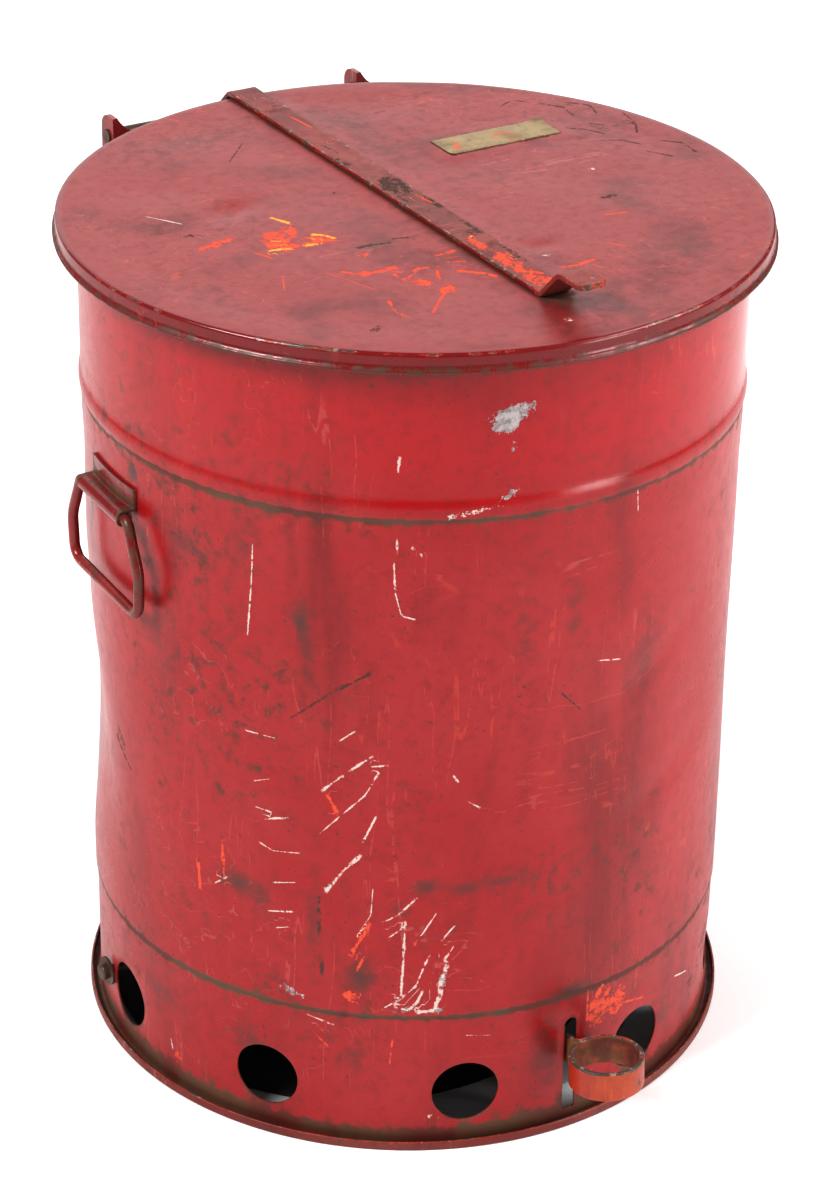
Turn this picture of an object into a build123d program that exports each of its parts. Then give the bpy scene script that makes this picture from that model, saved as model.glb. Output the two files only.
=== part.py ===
from build123d import *
import os
from math import asin, atan2, cos, degrees, hypot, radians, sin, sqrt, tan

# Foot-operated, self-closing can for oily waste, made of painted sheet steel.
# Millimetres, +Z up.  The origin is the centre of the base on the floor, the pedal points
# to -Y, the lid hinges about X behind the can at +Y, and the side handles are near -X and +X.

os.makedirs("parts", exist_ok=True)

# ---------------------------------------------------------------- driving dimensions
lid_radius = 204.0          # 16-1/16 in across the lid
lid_top = 514.4             # 20-1/4 in from the floor to the flat of the lid
body_radius = 191.8         # outside of the container wall
sheet = 0.8                 # wall sheet, 22 gauge
cut_reach = 8.0             # how far a wall cut runs to each side of the wall
handle_turn = -2.0          # degrees that handles and vents are turned from the pedal line

# Container
seam_z = 90.0               # lower end of the container wall, where it laps the base
bead_low, bead_high = 411.0, 423.0
bead_proud = 1.3
rim_wire_r = 1.35
curl_in_r, curl_out_r = 1.4, 2.2
lid_sheet = 0.9
rest_gap = 0.3              # lid to container rim when closed
curl_z = lid_top - lid_sheet - rest_gap - curl_out_r
floor_z = 101.2             # underside of the raised container floor
floor_sheet = 1.0
floor_flange = 12.0
floor_round = 0.9

# Base
skirt_sheet = 0.9
skirt_out = body_radius - sheet
skirt_in = skirt_out - skirt_sheet
vent_count, vent_r, vent_z = 10, 20.0, 36.0
slot_width, slot_low, slot_high = 8.4, 8.0, 72.0
rear_slot_high = 56.0
ring_in, ring_out = 189.2, 197.3
ring_sheet, ring_height, ring_round = 1.5, 6.0, 0.6

# Lid
lid_corner = 2.0
hem_r, hem_set_in = 1.4, 1.0
rim_height = 11.6
strap_width, strap_thick = 19.0, 3.2
tab_tip_y, tab_crest_y, tab_foot_y = -182.0, -160.0, -143.5
tab_rise = 17.4
tab_crest_r, strap_bend_r, tab_round = 9.0, 4.0, 6.0
strap_fall_y = 206.0        # where the strap turns down behind the lid
plate_size, plate_round = (76.2, 25.4, 0.6), 1.5
plate_at = (97.0, 69.0)

# Hinge behind the lid
pin_y, pin_z, pin_r = 216.5, 499.3, 3.175
running = 0.05              # radial clearance of every turning fit
knuckle_r = pin_r + running + strap_thick
crank_side_gap = 0.4        # round the crank, in the middle of the strap's knuckle
ear_x, ear_thick, ear_r = 84.5, 3.0, 8.0
ear_low, ear_top = 440.0, 512.3
flange_y, flange_width, flange_high = 209.2, 13.0, 501.0
ear_foot, ear_slope, flange_round = 5.0, 26.0, 4.7
ear_rivet_z = (452.0, 478.0)
ear_rivet_x = 5.2           # from the ear's face, along the flange
bracket_sheet = 2.2
bracket_foot, foot_rivet_at = 15.0, 0.58
bracket_rivet_inset = 12.0
bracket_half, bracket_low, bracket_high = 98.0, 430.0, 488.0
notch_half, notch_z = 26.0, 478.0
rivet_r, rivet_head_r = 2.4, 4.2
rivet_head, rivet_back = 1.8, 1.6

# Lift linkage
crank_r, crank_rest = 15.5, radians(30)
crank_y = pin_y - crank_r * cos(crank_rest)
crank_z = pin_z - crank_r * sin(crank_rest)
rod_r, rod_x, rod_bend = 2.5, 9.0, 5.0
rod_tail_x = -6.5
cotter_x, cotter_r, cotter_hole_r, cotter_half = rod_tail_x + 2, 0.85, 0.9, 5.0
rod_washer_r, rod_washer_thick = 4.5, 1.0
lever_high, lever_thick = 18.5, 3.2
pivot_y, pivot_z = 37.0, 35.0
lever_slope = radians(3.7)
tail_reach = crank_y - pivot_y
tail_z = pivot_z - tail_reach * tan(lever_slope)
loop_x, loop_reach, loop_r = 7.0, 255.5, 20.7
loop_bend, loop_turn = 5.0, 332.0
tail_slot_long, tail_slot_spare = 12.0, 0.9
tail_past_slot = 10.0
washer_r, washer_thick = 9.0, 1.4
pivot_head_r, pivot_head, pivot_head_round = 5.0, 4.2, 1.4
collar_r, collar_length = 6.5, 9.0

# Handles
bail_r = 3.175
barrel_sheet = 1.6
barrel_bore = bail_r + running
barrel_r = barrel_bore + barrel_sheet
bail_x, bail_z = 197.4, 373.6
bail_gap = 0.4              # half the gap between the wire's ends, inside the barrel
bail_shoulder, bail_widest, bail_corner = 31.5, 44.5, 43.0
bail_knee, bail_drop = 28.0, 54.6
bail_shoulder_r, bail_knee_r, bail_corner_r = 5.5, 22.0, 9.0
bracket_half_width = 27.0
bracket_top = 390.0


def save(part, name):
    """Label a finished piece and write it as its own STEP file."""
    part.label = name
    export_step(part, f"parts/{name}.step")


# ---------------------------------------------------------------- container
with BuildPart() as body_shell:
    with BuildSketch(Plane.XZ):
        with BuildLine():
            inner = body_radius - sheet
            bead_mid = (bead_low + bead_high) / 2
            Line((inner, seam_z), (body_radius, seam_z))
            Line((body_radius, seam_z), (body_radius, bead_low))
            ThreePointArc((body_radius, bead_low), (body_radius + bead_proud, bead_mid),
                          (body_radius, bead_high))
            Line((body_radius, bead_high), (body_radius, curl_z))
            Line((body_radius, curl_z), (inner, curl_z))
            Line((inner, curl_z), (inner, bead_high))
            ThreePointArc((inner, bead_high), (inner + bead_proud, bead_mid),
                          (inner, bead_low))
            Line((inner, bead_low), (inner, seam_z))
        make_face()
        with Locations((body_radius + curl_in_r, curl_z)):
            Circle(curl_out_r)
            Circle(curl_in_r, mode=Mode.SUBTRACT)
        with Locations((body_radius + curl_in_r / 2, curl_z - curl_out_r / 2)):
            Rectangle(curl_in_r, curl_out_r, mode=Mode.SUBTRACT)
    revolve(axis=Axis.Z)
save(body_shell.part, "body_shell")

with BuildPart() as top_rim_wire:
    with BuildSketch(Plane.XZ):
        with Locations((body_radius + curl_in_r, curl_z)):
            Circle(rim_wire_r)
    revolve(axis=Axis.Z)
save(top_rim_wire.part, "top_rim_wire")

with BuildPart() as container_floor:
    floor_radius = body_radius - sheet
    with BuildSketch(Plane.XY.offset(floor_z)):
        Circle(floor_radius)
    extrude(amount=floor_flange)
    with BuildSketch(Plane.XY.offset(floor_z + floor_sheet)):
        Circle(floor_radius - floor_sheet)
    extrude(amount=floor_flange, mode=Mode.SUBTRACT)
    fillet(container_floor.edges().filter_by(GeomType.CIRCLE).group_by(Axis.Z)[0],
           floor_round)
save(container_floor.part, "container_floor")

# ---------------------------------------------------------------- base
with BuildPart() as base_skirt:
    with BuildSketch(Plane.XY.offset(ring_sheet)):
        Circle(skirt_out)
        Circle(skirt_in, mode=Mode.SUBTRACT)
    extrude(amount=floor_z - ring_sheet)
    for index in range(vent_count):
        azimuth = radians((index + 0.5) * 360 / vent_count + handle_turn)
        outward = Vector(sin(azimuth), -cos(azimuth), 0)
        vent_plane = Plane(origin=outward * (skirt_in - cut_reach) + Vector(0, 0, vent_z),
                           z_dir=outward)
        with BuildSketch(vent_plane):
            Circle(vent_r)
        extrude(amount=2 * cut_reach, mode=Mode.SUBTRACT)
    for side, top in ((-1, slot_high), (1, rear_slot_high)):
        slot_plane = Plane(origin=(0, side * (skirt_in - cut_reach), 0), x_dir=(1, 0, 0),
                           z_dir=(0, side, 0))
        up = -side
        with BuildSketch(slot_plane):
            straight = top - slot_low - slot_width / 2
            with Locations((0, up * (slot_low + straight / 2))):
                Rectangle(slot_width, straight)
            with Locations((0, up * (top - slot_width / 2))):
                Circle(slot_width / 2)
        extrude(amount=2 * cut_reach, mode=Mode.SUBTRACT)
    with BuildSketch(Plane.YZ.offset(-ring_out)):
        with Locations((pivot_y, pivot_z)):
            Circle(pin_r + running)
    extrude(amount=2 * ring_out, mode=Mode.SUBTRACT)
save(base_skirt.part, "base_skirt")

with BuildPart() as foot_ring:
    with BuildSketch(Plane.XZ):
        with Locations(((ring_in + ring_out) / 2, ring_sheet / 2)):
            Rectangle(ring_out - ring_in, ring_sheet)
        with Locations((ring_out - ring_sheet / 2, ring_height / 2)):
            Rectangle(ring_sheet, ring_height)
    revolve(axis=Axis.Z)
    lip_edges = foot_ring.edges().filter_by(GeomType.CIRCLE).group_by(Axis.Z)[-1]
    fillet(lip_edges, ring_round)
save(foot_ring.part, "foot_ring")

# ---------------------------------------------------------------- lid
with BuildPart() as lid_cover:
    with BuildSketch(Plane.XZ):
        hem_z = lid_top - rim_height + hem_r
        under = lid_top - lid_sheet
        rim_in = lid_radius - lid_sheet
        corner_in = lid_corner - lid_sheet
        with BuildLine():
            Line((0, lid_top), (lid_radius - lid_corner, lid_top))
            JernArc((lid_radius - lid_corner, lid_top), (1, 0), lid_corner, -90)
            Line((lid_radius, lid_top - lid_corner), (lid_radius, hem_z))
            Line((lid_radius, hem_z), (rim_in, hem_z))
            Line((rim_in, hem_z), (rim_in, under - corner_in))
            JernArc((rim_in, under - corner_in), (0, 1), corner_in, 90)
            Line((rim_in - corner_in, under), (0, under))
            Line((0, under), (0, lid_top))
        make_face()
        with Locations((lid_radius + hem_r - hem_set_in, hem_z)):
            Circle(hem_r)
    revolve(axis=Axis.Z)
save(lid_cover.part, "lid_cover")

with BuildPart() as lid_strap:
    strap_mid = lid_top + strap_thick / 2
    fall_y, fall_z = pin_y - strap_fall_y, strap_mid - pin_z
    wrap_r = knuckle_r - strap_thick / 2
    fall_angle = atan2(fall_z, fall_y) - asin(wrap_r / hypot(fall_y, fall_z))
    touch = (pin_y + wrap_r * sin(fall_angle), pin_z + wrap_r * cos(fall_angle))
    with BuildSketch(Plane.YZ.offset(-strap_width / 2)):
        with BuildLine():
            FilletPolyline((tab_tip_y, strap_mid + tab_rise),
                           (tab_crest_y, strap_mid + tab_rise),
                           (tab_foot_y, strap_mid),
                           (strap_fall_y, strap_mid),
                           touch,
                           radius=[tab_crest_r, strap_bend_r, strap_bend_r])
        trace(line_width=strap_thick)
        with Locations((pin_y, pin_z)):
            Circle(knuckle_r)
            Circle(pin_r + running, mode=Mode.SUBTRACT)
    extrude(amount=strap_width)
    tip_edges = lid_strap.edges().filter_by(Axis.Z).group_by(Axis.Y)[0]
    fillet(tip_edges, tab_round)
    with BuildSketch(Plane.YZ.offset(-strap_thick / 2)):
        with Locations((pin_y, pin_z)):
            cut = 2 * (knuckle_r + crank_side_gap)
            Rectangle(cut, cut)
    extrude(amount=strap_thick, mode=Mode.SUBTRACT)
save(lid_strap.part, "lid_strap")

with BuildPart() as lift_crank:
    arm_r, end_r = 4.0, 4.6
    with BuildSketch(Plane.YZ.offset(-strap_thick / 2)):
        with Locations((pin_y, pin_z)):
            Circle(knuckle_r)
        with Locations((crank_y, crank_z)):
            Circle(end_r)
        with Locations(Location(((pin_y + crank_y) / 2, (pin_z + crank_z) / 2),
                                degrees(crank_rest))):
            SlotCenterToCenter(crank_r, 2 * arm_r)
        with Locations((pin_y, pin_z)):
            Circle(pin_r + running, mode=Mode.SUBTRACT)
        with Locations((crank_y, crank_z)):
            Circle(rod_r + running, mode=Mode.SUBTRACT)
    extrude(amount=strap_thick)
save(lift_crank.part, "lift_crank")

with BuildPart() as name_plate:
    with BuildSketch(Plane.XY.offset(lid_top)):
        with Locations(plate_at):
            RectangleRounded(plate_size[0], plate_size[1], plate_round)
    extrude(amount=plate_size[2])
save(name_plate.part, "name_plate")

# ---------------------------------------------------------------- hinge
with BuildPart() as hinge_rod:
    rod_half = ear_x + ear_thick / 2
    head_r, head_thick = 4.2, 1.2
    with BuildSketch(Plane.YZ.offset(-rod_half)):
        with Locations((pin_y, pin_z)):
            Circle(pin_r)
    extrude(amount=2 * rod_half)
    for start in (-rod_half - head_thick, rod_half):
        with BuildSketch(Plane.YZ.offset(start)):
            with Locations((pin_y, pin_z)):
                Circle(head_r)
        extrude(amount=head_thick)
save(hinge_rod.part, "hinge_rod")

spacer_r = pin_r + 0.9
spacer_in = strap_width / 2 + rest_gap
spacer_length = ear_x - ear_thick / 2 - spacer_in
for name, start in (("hinge_spacer_left", -spacer_in - spacer_length),
                    ("hinge_spacer_right", spacer_in)):
    with BuildPart() as hinge_spacer:
        with BuildSketch(Plane.YZ.offset(start)):
            with Locations((pin_y, pin_z)):
                Circle(spacer_r)
                Circle(pin_r + running, mode=Mode.SUBTRACT)
        extrude(amount=spacer_length)
    save(hinge_spacer.part, name)

# Both ears are the same pressing: the flange turns towards +X on each.
ear_round_z = ear_top - ear_r
for name, ear_mid in (("hinge_ear_left", -ear_x), ("hinge_ear_right", ear_x)):
    with BuildPart() as hinge_ear:
        with BuildSketch(Plane.YZ.offset(ear_mid - ear_thick / 2)):
            with BuildLine():
                Polyline((flange_y, ear_low), (flange_y + ear_foot, ear_low),
                         (pin_y + ear_r, ear_round_z - ear_slope),
                         (pin_y + ear_r, ear_round_z))
                JernArc((pin_y + ear_r, ear_round_z), (0, 1), ear_r, 90)
                Polyline((pin_y, ear_top), (flange_y, ear_top),
                         (flange_y, ear_low))
            make_face()
            with Locations((pin_y, pin_z)):
                Circle(pin_r, mode=Mode.SUBTRACT)
        extrude(amount=ear_thick)
        flange_start = ear_mid + ear_thick / 2
        with BuildSketch(Plane.XZ.offset(-flange_y - ear_thick)):
            with BuildLine():
                Line((flange_start, ear_low), (flange_start + flange_width, ear_low))
                Line((flange_start + flange_width, ear_low),
                     (flange_start + flange_width, flange_high))
                ThreePointArc((flange_start + flange_width, flange_high),
                              (flange_start + ear_rivet_x, flange_high + flange_round),
                              (flange_start, ear_top))
                Line((flange_start, ear_top), (flange_start, ear_low))
            make_face()
            with Locations([(flange_start + ear_rivet_x, z) for z in ear_rivet_z]):
                Circle(rivet_r, mode=Mode.SUBTRACT)
        extrude(amount=ear_thick)
    save(hinge_ear.part, name)

with BuildPart() as hinge_bracket:
    leg_in = sqrt(body_radius ** 2 - bracket_half ** 2)
    web_y = flange_y - bracket_sheet
    tall = bracket_high - bracket_low
    foot_span = degrees(bracket_foot / body_radius)
    leg_azimuth = degrees(asin((bracket_half - bracket_sheet) / body_radius))
    with BuildSketch(Plane.XY.offset(bracket_low)):
        with Locations((0, web_y + bracket_sheet / 2)):
            Rectangle(2 * bracket_half, bracket_sheet)
        for side in (-1, 1):
            with Locations((side * (bracket_half - bracket_sheet / 2), (leg_in + web_y) / 2)):
                Rectangle(bracket_sheet, web_y - leg_in + 4)
            with BuildLine():
                first = 90 - side * leg_azimuth
                last = 90 - side * (leg_azimuth + foot_span)
                far = body_radius + bracket_sheet
                near_arc = CenterArc((0, 0), body_radius, first, last - first)
                far_arc = CenterArc((0, 0), far, first, last - first)
                Line(near_arc @ 0, far_arc @ 0)
                Line(near_arc @ 1, far_arc @ 1)
            make_face()
        Circle(body_radius, mode=Mode.SUBTRACT)
    extrude(amount=tall)
    with BuildSketch(Plane.XZ.offset(-web_y - bracket_sheet)):
        with Locations((0, (notch_z + bracket_high) / 2)):
            Rectangle(2 * notch_half, bracket_high - notch_z)
        for ear_mid in (-ear_x, ear_x):
            with Locations([(ear_mid + ear_thick / 2 + ear_rivet_x, z) for z in ear_rivet_z]):
                Circle(rivet_r)
    extrude(amount=bracket_sheet, mode=Mode.SUBTRACT)
save(hinge_bracket.part, "hinge_bracket")

with BuildPart() as ear_rivets:
    for ear_mid in (-ear_x, ear_x):
        rivet_x = ear_mid + ear_thick / 2 + ear_rivet_x
        for z in ear_rivet_z:
            for back, radius, length in ((web_y - rivet_back, rivet_head_r, rivet_back),
                                         (web_y, rivet_r, bracket_sheet + ear_thick),
                                         (flange_y + ear_thick, rivet_head_r, rivet_head)):
                rivet_plane = Plane(origin=(rivet_x, back, z), z_dir=(0, 1, 0))
                with BuildSketch(rivet_plane):
                    Circle(radius)
                extrude(amount=length)
save(ear_rivets.part, "ear_rivets")

with BuildPart() as bracket_rivets:
    head_azimuth = radians(leg_azimuth + foot_span * foot_rivet_at)
    for side in (-1, 1):
        outward = Vector(side * sin(head_azimuth), cos(head_azimuth), 0)
        for z in (bracket_low + bracket_rivet_inset, bracket_high - bracket_rivet_inset):
            centre = outward * (body_radius + bracket_sheet + 0.1) + Vector(0, 0, z)
            with BuildSketch(Plane(origin=centre, z_dir=outward)):
                Circle(rivet_head_r)
            extrude(amount=rivet_head)
save(bracket_rivets.part, "bracket_rivets")

# ---------------------------------------------------------------- lift linkage
with BuildPart() as push_rod:
    with BuildLine() as rod_path:
        FilletPolyline((rod_tail_x, crank_y, crank_z), (rod_x, crank_y, crank_z),
                       (rod_x, crank_y, tail_z), (rod_tail_x, crank_y, tail_z),
                       radius=rod_bend)
    with BuildSketch(Plane(origin=rod_path.line @ 0, z_dir=rod_path.line % 0)):
        Circle(rod_r)
    sweep()
    with BuildSketch(Plane.XY.offset(tail_z - cotter_half)):
        with Locations((cotter_x, crank_y)):
            Circle(cotter_hole_r)
    extrude(amount=crank_z - tail_z + 2 * cotter_half, mode=Mode.SUBTRACT)
save(push_rod.part, "push_rod")

with BuildPart() as rod_washers:
    for z in (crank_z, tail_z):
        with BuildSketch(Plane.YZ.offset(-strap_thick / 2 - rest_gap - rod_washer_thick)):
            with Locations((crank_y, z)):
                Circle(rod_washer_r)
                Circle(rod_r + running, mode=Mode.SUBTRACT)
        extrude(amount=rod_washer_thick)
save(rod_washers.part, "rod_washers")

with BuildPart() as rod_cotters:
    for z in (crank_z, tail_z):
        with BuildSketch(Plane.XY.offset(z - cotter_half)):
            with Locations((cotter_x, crank_y)):
                Circle(cotter_r)
        extrude(amount=2 * cotter_half)
save(rod_cotters.part, "rod_cotters")

# The lever is drawn in a plane that slopes with it: local x is X, local y runs up the bar.
lever_plane = Plane(origin=(0, pivot_y, pivot_z), x_dir=(1, 0, 0),
                    z_dir=(0, sin(lever_slope), cos(lever_slope)))
with BuildPart() as pedal_lever:
    loop_y = -loop_reach
    stem_end = loop_y + loop_r + loop_bend
    tail_end = tail_reach / cos(lever_slope) + tail_past_slot
    with BuildSketch(lever_plane.offset(-lever_high / 2)):
        with BuildLine():
            Line((0, tail_end), (0, stem_end))
            JernArc((0, stem_end), (0, -1), loop_bend, 90)
            Line((loop_bend, loop_y + loop_r), (loop_x, loop_y + loop_r))
            JernArc((loop_x, loop_y + loop_r), (1, 0), loop_r, -loop_turn)
        trace(line_width=lever_thick)
    extrude(amount=lever_high)
    with BuildSketch(Plane.YZ.offset(-lever_thick)):
        with Locations((pivot_y, pivot_z)):
            Circle(pin_r + running)
        with Locations(Location((crank_y, tail_z), -degrees(lever_slope))):
            SlotOverall(tail_slot_long, 2 * rod_r + tail_slot_spare)
    extrude(amount=2 * lever_thick, mode=Mode.SUBTRACT)
save(pedal_lever.part, "pedal_lever")

with BuildPart() as pivot_rod:
    washer_start = sqrt(skirt_out ** 2 - (pivot_y - washer_r) ** 2) + running
    washer_end = washer_start + washer_thick
    with BuildSketch(Plane.YZ.offset(-washer_end)):
        with Locations((pivot_y, pivot_z)):
            Circle(pin_r)
    extrude(amount=2 * washer_end)
    for start in (-washer_end - pivot_head, washer_end):
        with BuildSketch(Plane.YZ.offset(start)):
            with Locations((pivot_y, pivot_z)):
                Circle(pivot_head_r)
        extrude(amount=pivot_head)
    ends = pivot_rod.edges().filter_by(GeomType.CIRCLE).group_by(Axis.X)
    fillet(ends[0] + ends[-1], pivot_head_round)
save(pivot_rod.part, "pivot_rod")

with BuildPart() as pivot_washers:
    for start in (-washer_end, washer_start):
        with BuildSketch(Plane.YZ.offset(start)):
            with Locations((pivot_y, pivot_z)):
                Circle(washer_r)
                Circle(pin_r + running, mode=Mode.SUBTRACT)
        extrude(amount=washer_thick)
save(pivot_washers.part, "pivot_washers")

with BuildPart() as pivot_collars:
    collar_in = lever_thick / 2 + rest_gap
    for start in (-collar_in - collar_length, collar_in):
        with BuildSketch(Plane.YZ.offset(start)):
            with Locations((pivot_y, pivot_z)):
                Circle(collar_r)
                Circle(pin_r + running, mode=Mode.SUBTRACT)
        extrude(amount=collar_length)
save(pivot_collars.part, "pivot_collars")

# ---------------------------------------------------------------- handles
# Each is drawn on the -X side and then turned to its place round the can.
with BuildPart() as bracket_pattern:
    half_azimuth = degrees(bracket_half_width / body_radius)
    with BuildSketch(Plane.XY.offset(bail_z + barrel_r - barrel_sheet)):
        with BuildLine():
            near_arc = CenterArc((0, 0), body_radius, 180 - half_azimuth, 2 * half_azimuth)
            far_arc = CenterArc((0, 0), body_radius + barrel_sheet, 180 - half_azimuth,
                                2 * half_azimuth)
            Line(near_arc @ 0, far_arc @ 0)
            Line(near_arc @ 1, far_arc @ 1)
        make_face()
    extrude(amount=bracket_top - bail_z - barrel_r + barrel_sheet)
    with BuildSketch(Plane.XZ.offset(-bracket_half_width)):
        with Locations((-bail_x, bail_z)):
            Circle(barrel_r)
        bend_in = body_radius - cut_reach
        with Locations((-(bail_x + bend_in) / 2, bail_z + barrel_r - barrel_sheet / 2)):
            Rectangle(bail_x - bend_in, barrel_sheet)
        with Locations((-bail_x, bail_z)):
            Circle(barrel_bore, mode=Mode.SUBTRACT)
    extrude(amount=2 * bracket_half_width)
    with BuildSketch(Plane.XY.offset(bail_z - bracket_half_width)):
        Circle(body_radius)
    extrude(amount=2 * bracket_half_width, mode=Mode.SUBTRACT)

with BuildPart() as bail_pattern:
    with BuildLine() as bail_path:
        knee_z, grip_z = bail_z - bail_knee, bail_z - bail_drop
        FilletPolyline((-bail_x, bail_gap, bail_z), (-bail_x, bail_shoulder, bail_z),
                       (-bail_x, bail_widest, knee_z), (-bail_x, bail_corner, grip_z),
                       (-bail_x, -bail_corner, grip_z), (-bail_x, -bail_widest, knee_z),
                       (-bail_x, -bail_shoulder, bail_z), (-bail_x, -bail_gap, bail_z),
                       radius=[bail_shoulder_r, bail_knee_r, bail_corner_r,
                               bail_corner_r, bail_knee_r, bail_shoulder_r])
    with BuildSketch(Plane(origin=bail_path.line @ 0, z_dir=bail_path.line % 0)):
        Circle(bail_r)
    sweep()

for side, turn in (("left", handle_turn), ("right", handle_turn + 180)):
    with BuildPart() as handle_bracket:
        add(bracket_pattern.part.rotate(Axis.Z, turn))
    save(handle_bracket.part, f"handle_bracket_{side}")
    with BuildPart() as bail:
        add(bail_pattern.part.rotate(Axis.Z, turn))
    save(bail.part, f"bail_{side}")
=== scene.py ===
from math import asin, atan2, cos, hypot, pi, radians, sin, sqrt

import bpy
import numpy as np
from mathutils import Matrix, Vector
from mathutils.geometry import delaunay_2d_cdt


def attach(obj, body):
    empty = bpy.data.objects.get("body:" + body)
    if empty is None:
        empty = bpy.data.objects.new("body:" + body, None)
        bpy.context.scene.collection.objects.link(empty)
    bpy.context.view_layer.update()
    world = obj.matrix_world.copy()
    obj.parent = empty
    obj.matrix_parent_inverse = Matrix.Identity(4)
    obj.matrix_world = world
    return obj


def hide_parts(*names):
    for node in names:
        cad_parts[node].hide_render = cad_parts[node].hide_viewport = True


# A foot-operated can for oily waste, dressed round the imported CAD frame.
# Shapes are in millimetres and become metres in make_piece; camera, lights, floor and
# cards are in metres.  Azimuth runs round the can from the pedal (-Y), positive to +X.

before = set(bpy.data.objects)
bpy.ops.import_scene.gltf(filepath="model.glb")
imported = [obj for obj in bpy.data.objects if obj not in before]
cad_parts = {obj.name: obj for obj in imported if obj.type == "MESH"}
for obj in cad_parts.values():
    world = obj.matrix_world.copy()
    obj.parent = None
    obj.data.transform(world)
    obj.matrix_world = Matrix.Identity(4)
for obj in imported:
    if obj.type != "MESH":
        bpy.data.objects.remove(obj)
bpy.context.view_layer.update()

MM = 0.001

# Sizes shared with the CAD
BODY_R, SHEET = 191.8, 0.8
SEAM_Z, BEAD_LOW, BEAD_HIGH, BEAD_PROUD = 90.0, 411.0, 423.0, 1.3
CURL_R, CURL_Z, CURL_TUBE = 193.2, 511.0, 2.2
LID_R, LID_TOP, LID_SHEET, LID_CORNER = 204.0, 514.4, 0.9, 2.0
HEM_R, HEM_Z, HEM_TUBE = 204.4, 504.2, 1.4
SKIRT_OUT, SKIRT_IN, SKIRT_LOW, SKIRT_HIGH = 191.0, 190.1, 1.5, 101.2
VENTS, VENT_R, VENT_Z = 10, 20.0, 36.0
SLOT_WIDTH, SLOT_LOW, SLOT_HIGH, REAR_SLOT_HIGH = 8.4, 8.0, 72.0, 56.0
RING_IN, RING_OUT, RING_SHEET, RING_HIGH = 189.2, 197.3, 1.5, 6.0
STRAP_HALF, STRAP_THICK = 9.5, 3.2
PIN_Y, PIN_Z, PIN_R = 216.5, 499.3, 3.175
RUNNING = 0.05
KNUCKLE_R = PIN_R + RUNNING + STRAP_THICK
PLATE_SIZE, PLATE_AT = (76.2, 25.4, 0.6), (97.0, 69.0)
PIVOT_Y, PIVOT_Z = 37.0, 35.0
HANDLE_TURN = -2.0
BAIL_X, BAIL_Z, BAIL_R = 197.4, 373.6, 3.175
CLIP_SHEET, CLIP_HALF, CLIP_TOP = 1.6, 27.0, 390.0


# ================================================================ camera, floor and light
def add_camera():
    """A long lens from the left front, looking down on the can."""
    data = bpy.data.cameras.new("camera")
    data.lens, data.sensor_width, data.sensor_fit = 105.76, 36.0, "AUTO"
    data.clip_start, data.clip_end = 0.05, 60.0
    camera = bpy.data.objects.new("camera", data)
    right = Vector((0.85694, -0.51519, 0.01544))
    up = Vector((0.23323, 0.41432, 0.87974))
    forward = Vector((0.45963, 0.75028, -0.47520))
    turn = Matrix((right, up, -forward)).transposed().to_4x4()
    camera.matrix_world = Matrix.Translation((-0.96990, -1.58894, 1.26595)) @ turn
    bpy.context.collection.objects.link(camera)
    bpy.context.scene.camera = camera


def add_light(name, place, target, width, height, watts):
    """A soft box at place that faces target."""
    data = bpy.data.lights.new(name, "AREA")
    data.shape, data.size, data.size_y = "RECTANGLE", width, height
    data.energy = watts
    lamp = bpy.data.objects.new(name, data)
    aim = Vector(target) - Vector(place)
    lamp.matrix_world = (Matrix.Translation(place)
                         @ aim.to_track_quat("-Z", "Y").to_matrix().to_4x4())
    bpy.context.collection.objects.link(lamp)


def add_flat(name, corners, tone, roughness, specular=0.5):
    """A stage sheet with one plain colour."""
    mesh = bpy.data.meshes.new(name)
    mesh.from_pydata(corners, [], [tuple(range(len(corners)))])
    sheet = bpy.data.objects.new(name, mesh)
    bpy.context.collection.objects.link(sheet)
    material = bpy.data.materials.new(name)
    material.use_nodes = True
    shader = material.node_tree.nodes["Principled BSDF"]
    shader.inputs["Base Color"].default_value = (*tone, 1)
    shader.inputs["Roughness"].default_value = roughness
    shader.inputs["Specular IOR Level"].default_value = specular
    mesh.materials.append(material)


def add_floor():
    """A pale floor much larger than the picture."""
    reach = 12.0
    corners = [(-reach, -reach, 0), (reach, -reach, 0), (reach, reach, 0), (-reach, reach, 0)]
    add_flat("floor", corners, (0.92, 0.92, 0.92), 0.7, 0.2)


def add_shadow_card(name, centre, radius, height, tone):
    """A round card of painted shadow that lies on the floor inside the base, so that the vents look
    into shade.
    """
    count = 72
    corners = [(centre[0] + radius * cos(2 * pi * k / count),
                centre[1] + radius * sin(2 * pi * k / count), height) for k in range(count)]
    add_flat(name, corners, tone, 0.8)


def add_world():
    """White studio surround."""
    world = bpy.data.worlds.new("studio")
    world.use_nodes = True
    shade = world.node_tree.nodes["Background"]
    shade.inputs["Color"].default_value = (1.0, 1.0, 1.0, 1)
    shade.inputs["Strength"].default_value = 0.36
    bpy.context.scene.world = world
    bpy.context.scene.view_settings.view_transform = "Standard"
    bpy.context.scene.view_settings.gamma = 0.8


add_camera()
add_floor()
# Two cards of painted shadow on the floor inside the base: a grey half shade with a darker core.
add_shadow_card("grey shadow card", (-0.022, -0.004), 0.162, 0.0003, (0.55, 0.54, 0.54))
add_shadow_card("dark shadow card", (-0.028, 0.016), 0.150, 0.0006, (0.016, 0.012, 0.011))
add_world()
add_light("key", (-2.42, -0.1, 2.65), (0, 0, 0.3), 1.25, 1.25, 140)
add_light("fill", (2.0, -1.2, 2.5), (0, 0, 0.3), 1.5, 1.5, 84)
add_light("low front", (1.35, -2.5, 0.80), (0, 0, 0.42), 0.7, 1.5, 42)
add_light("backdrop", (1.0, 3.0, 1.9), (0, 0, 0.4), 4.4, 2.6, 52)


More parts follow.
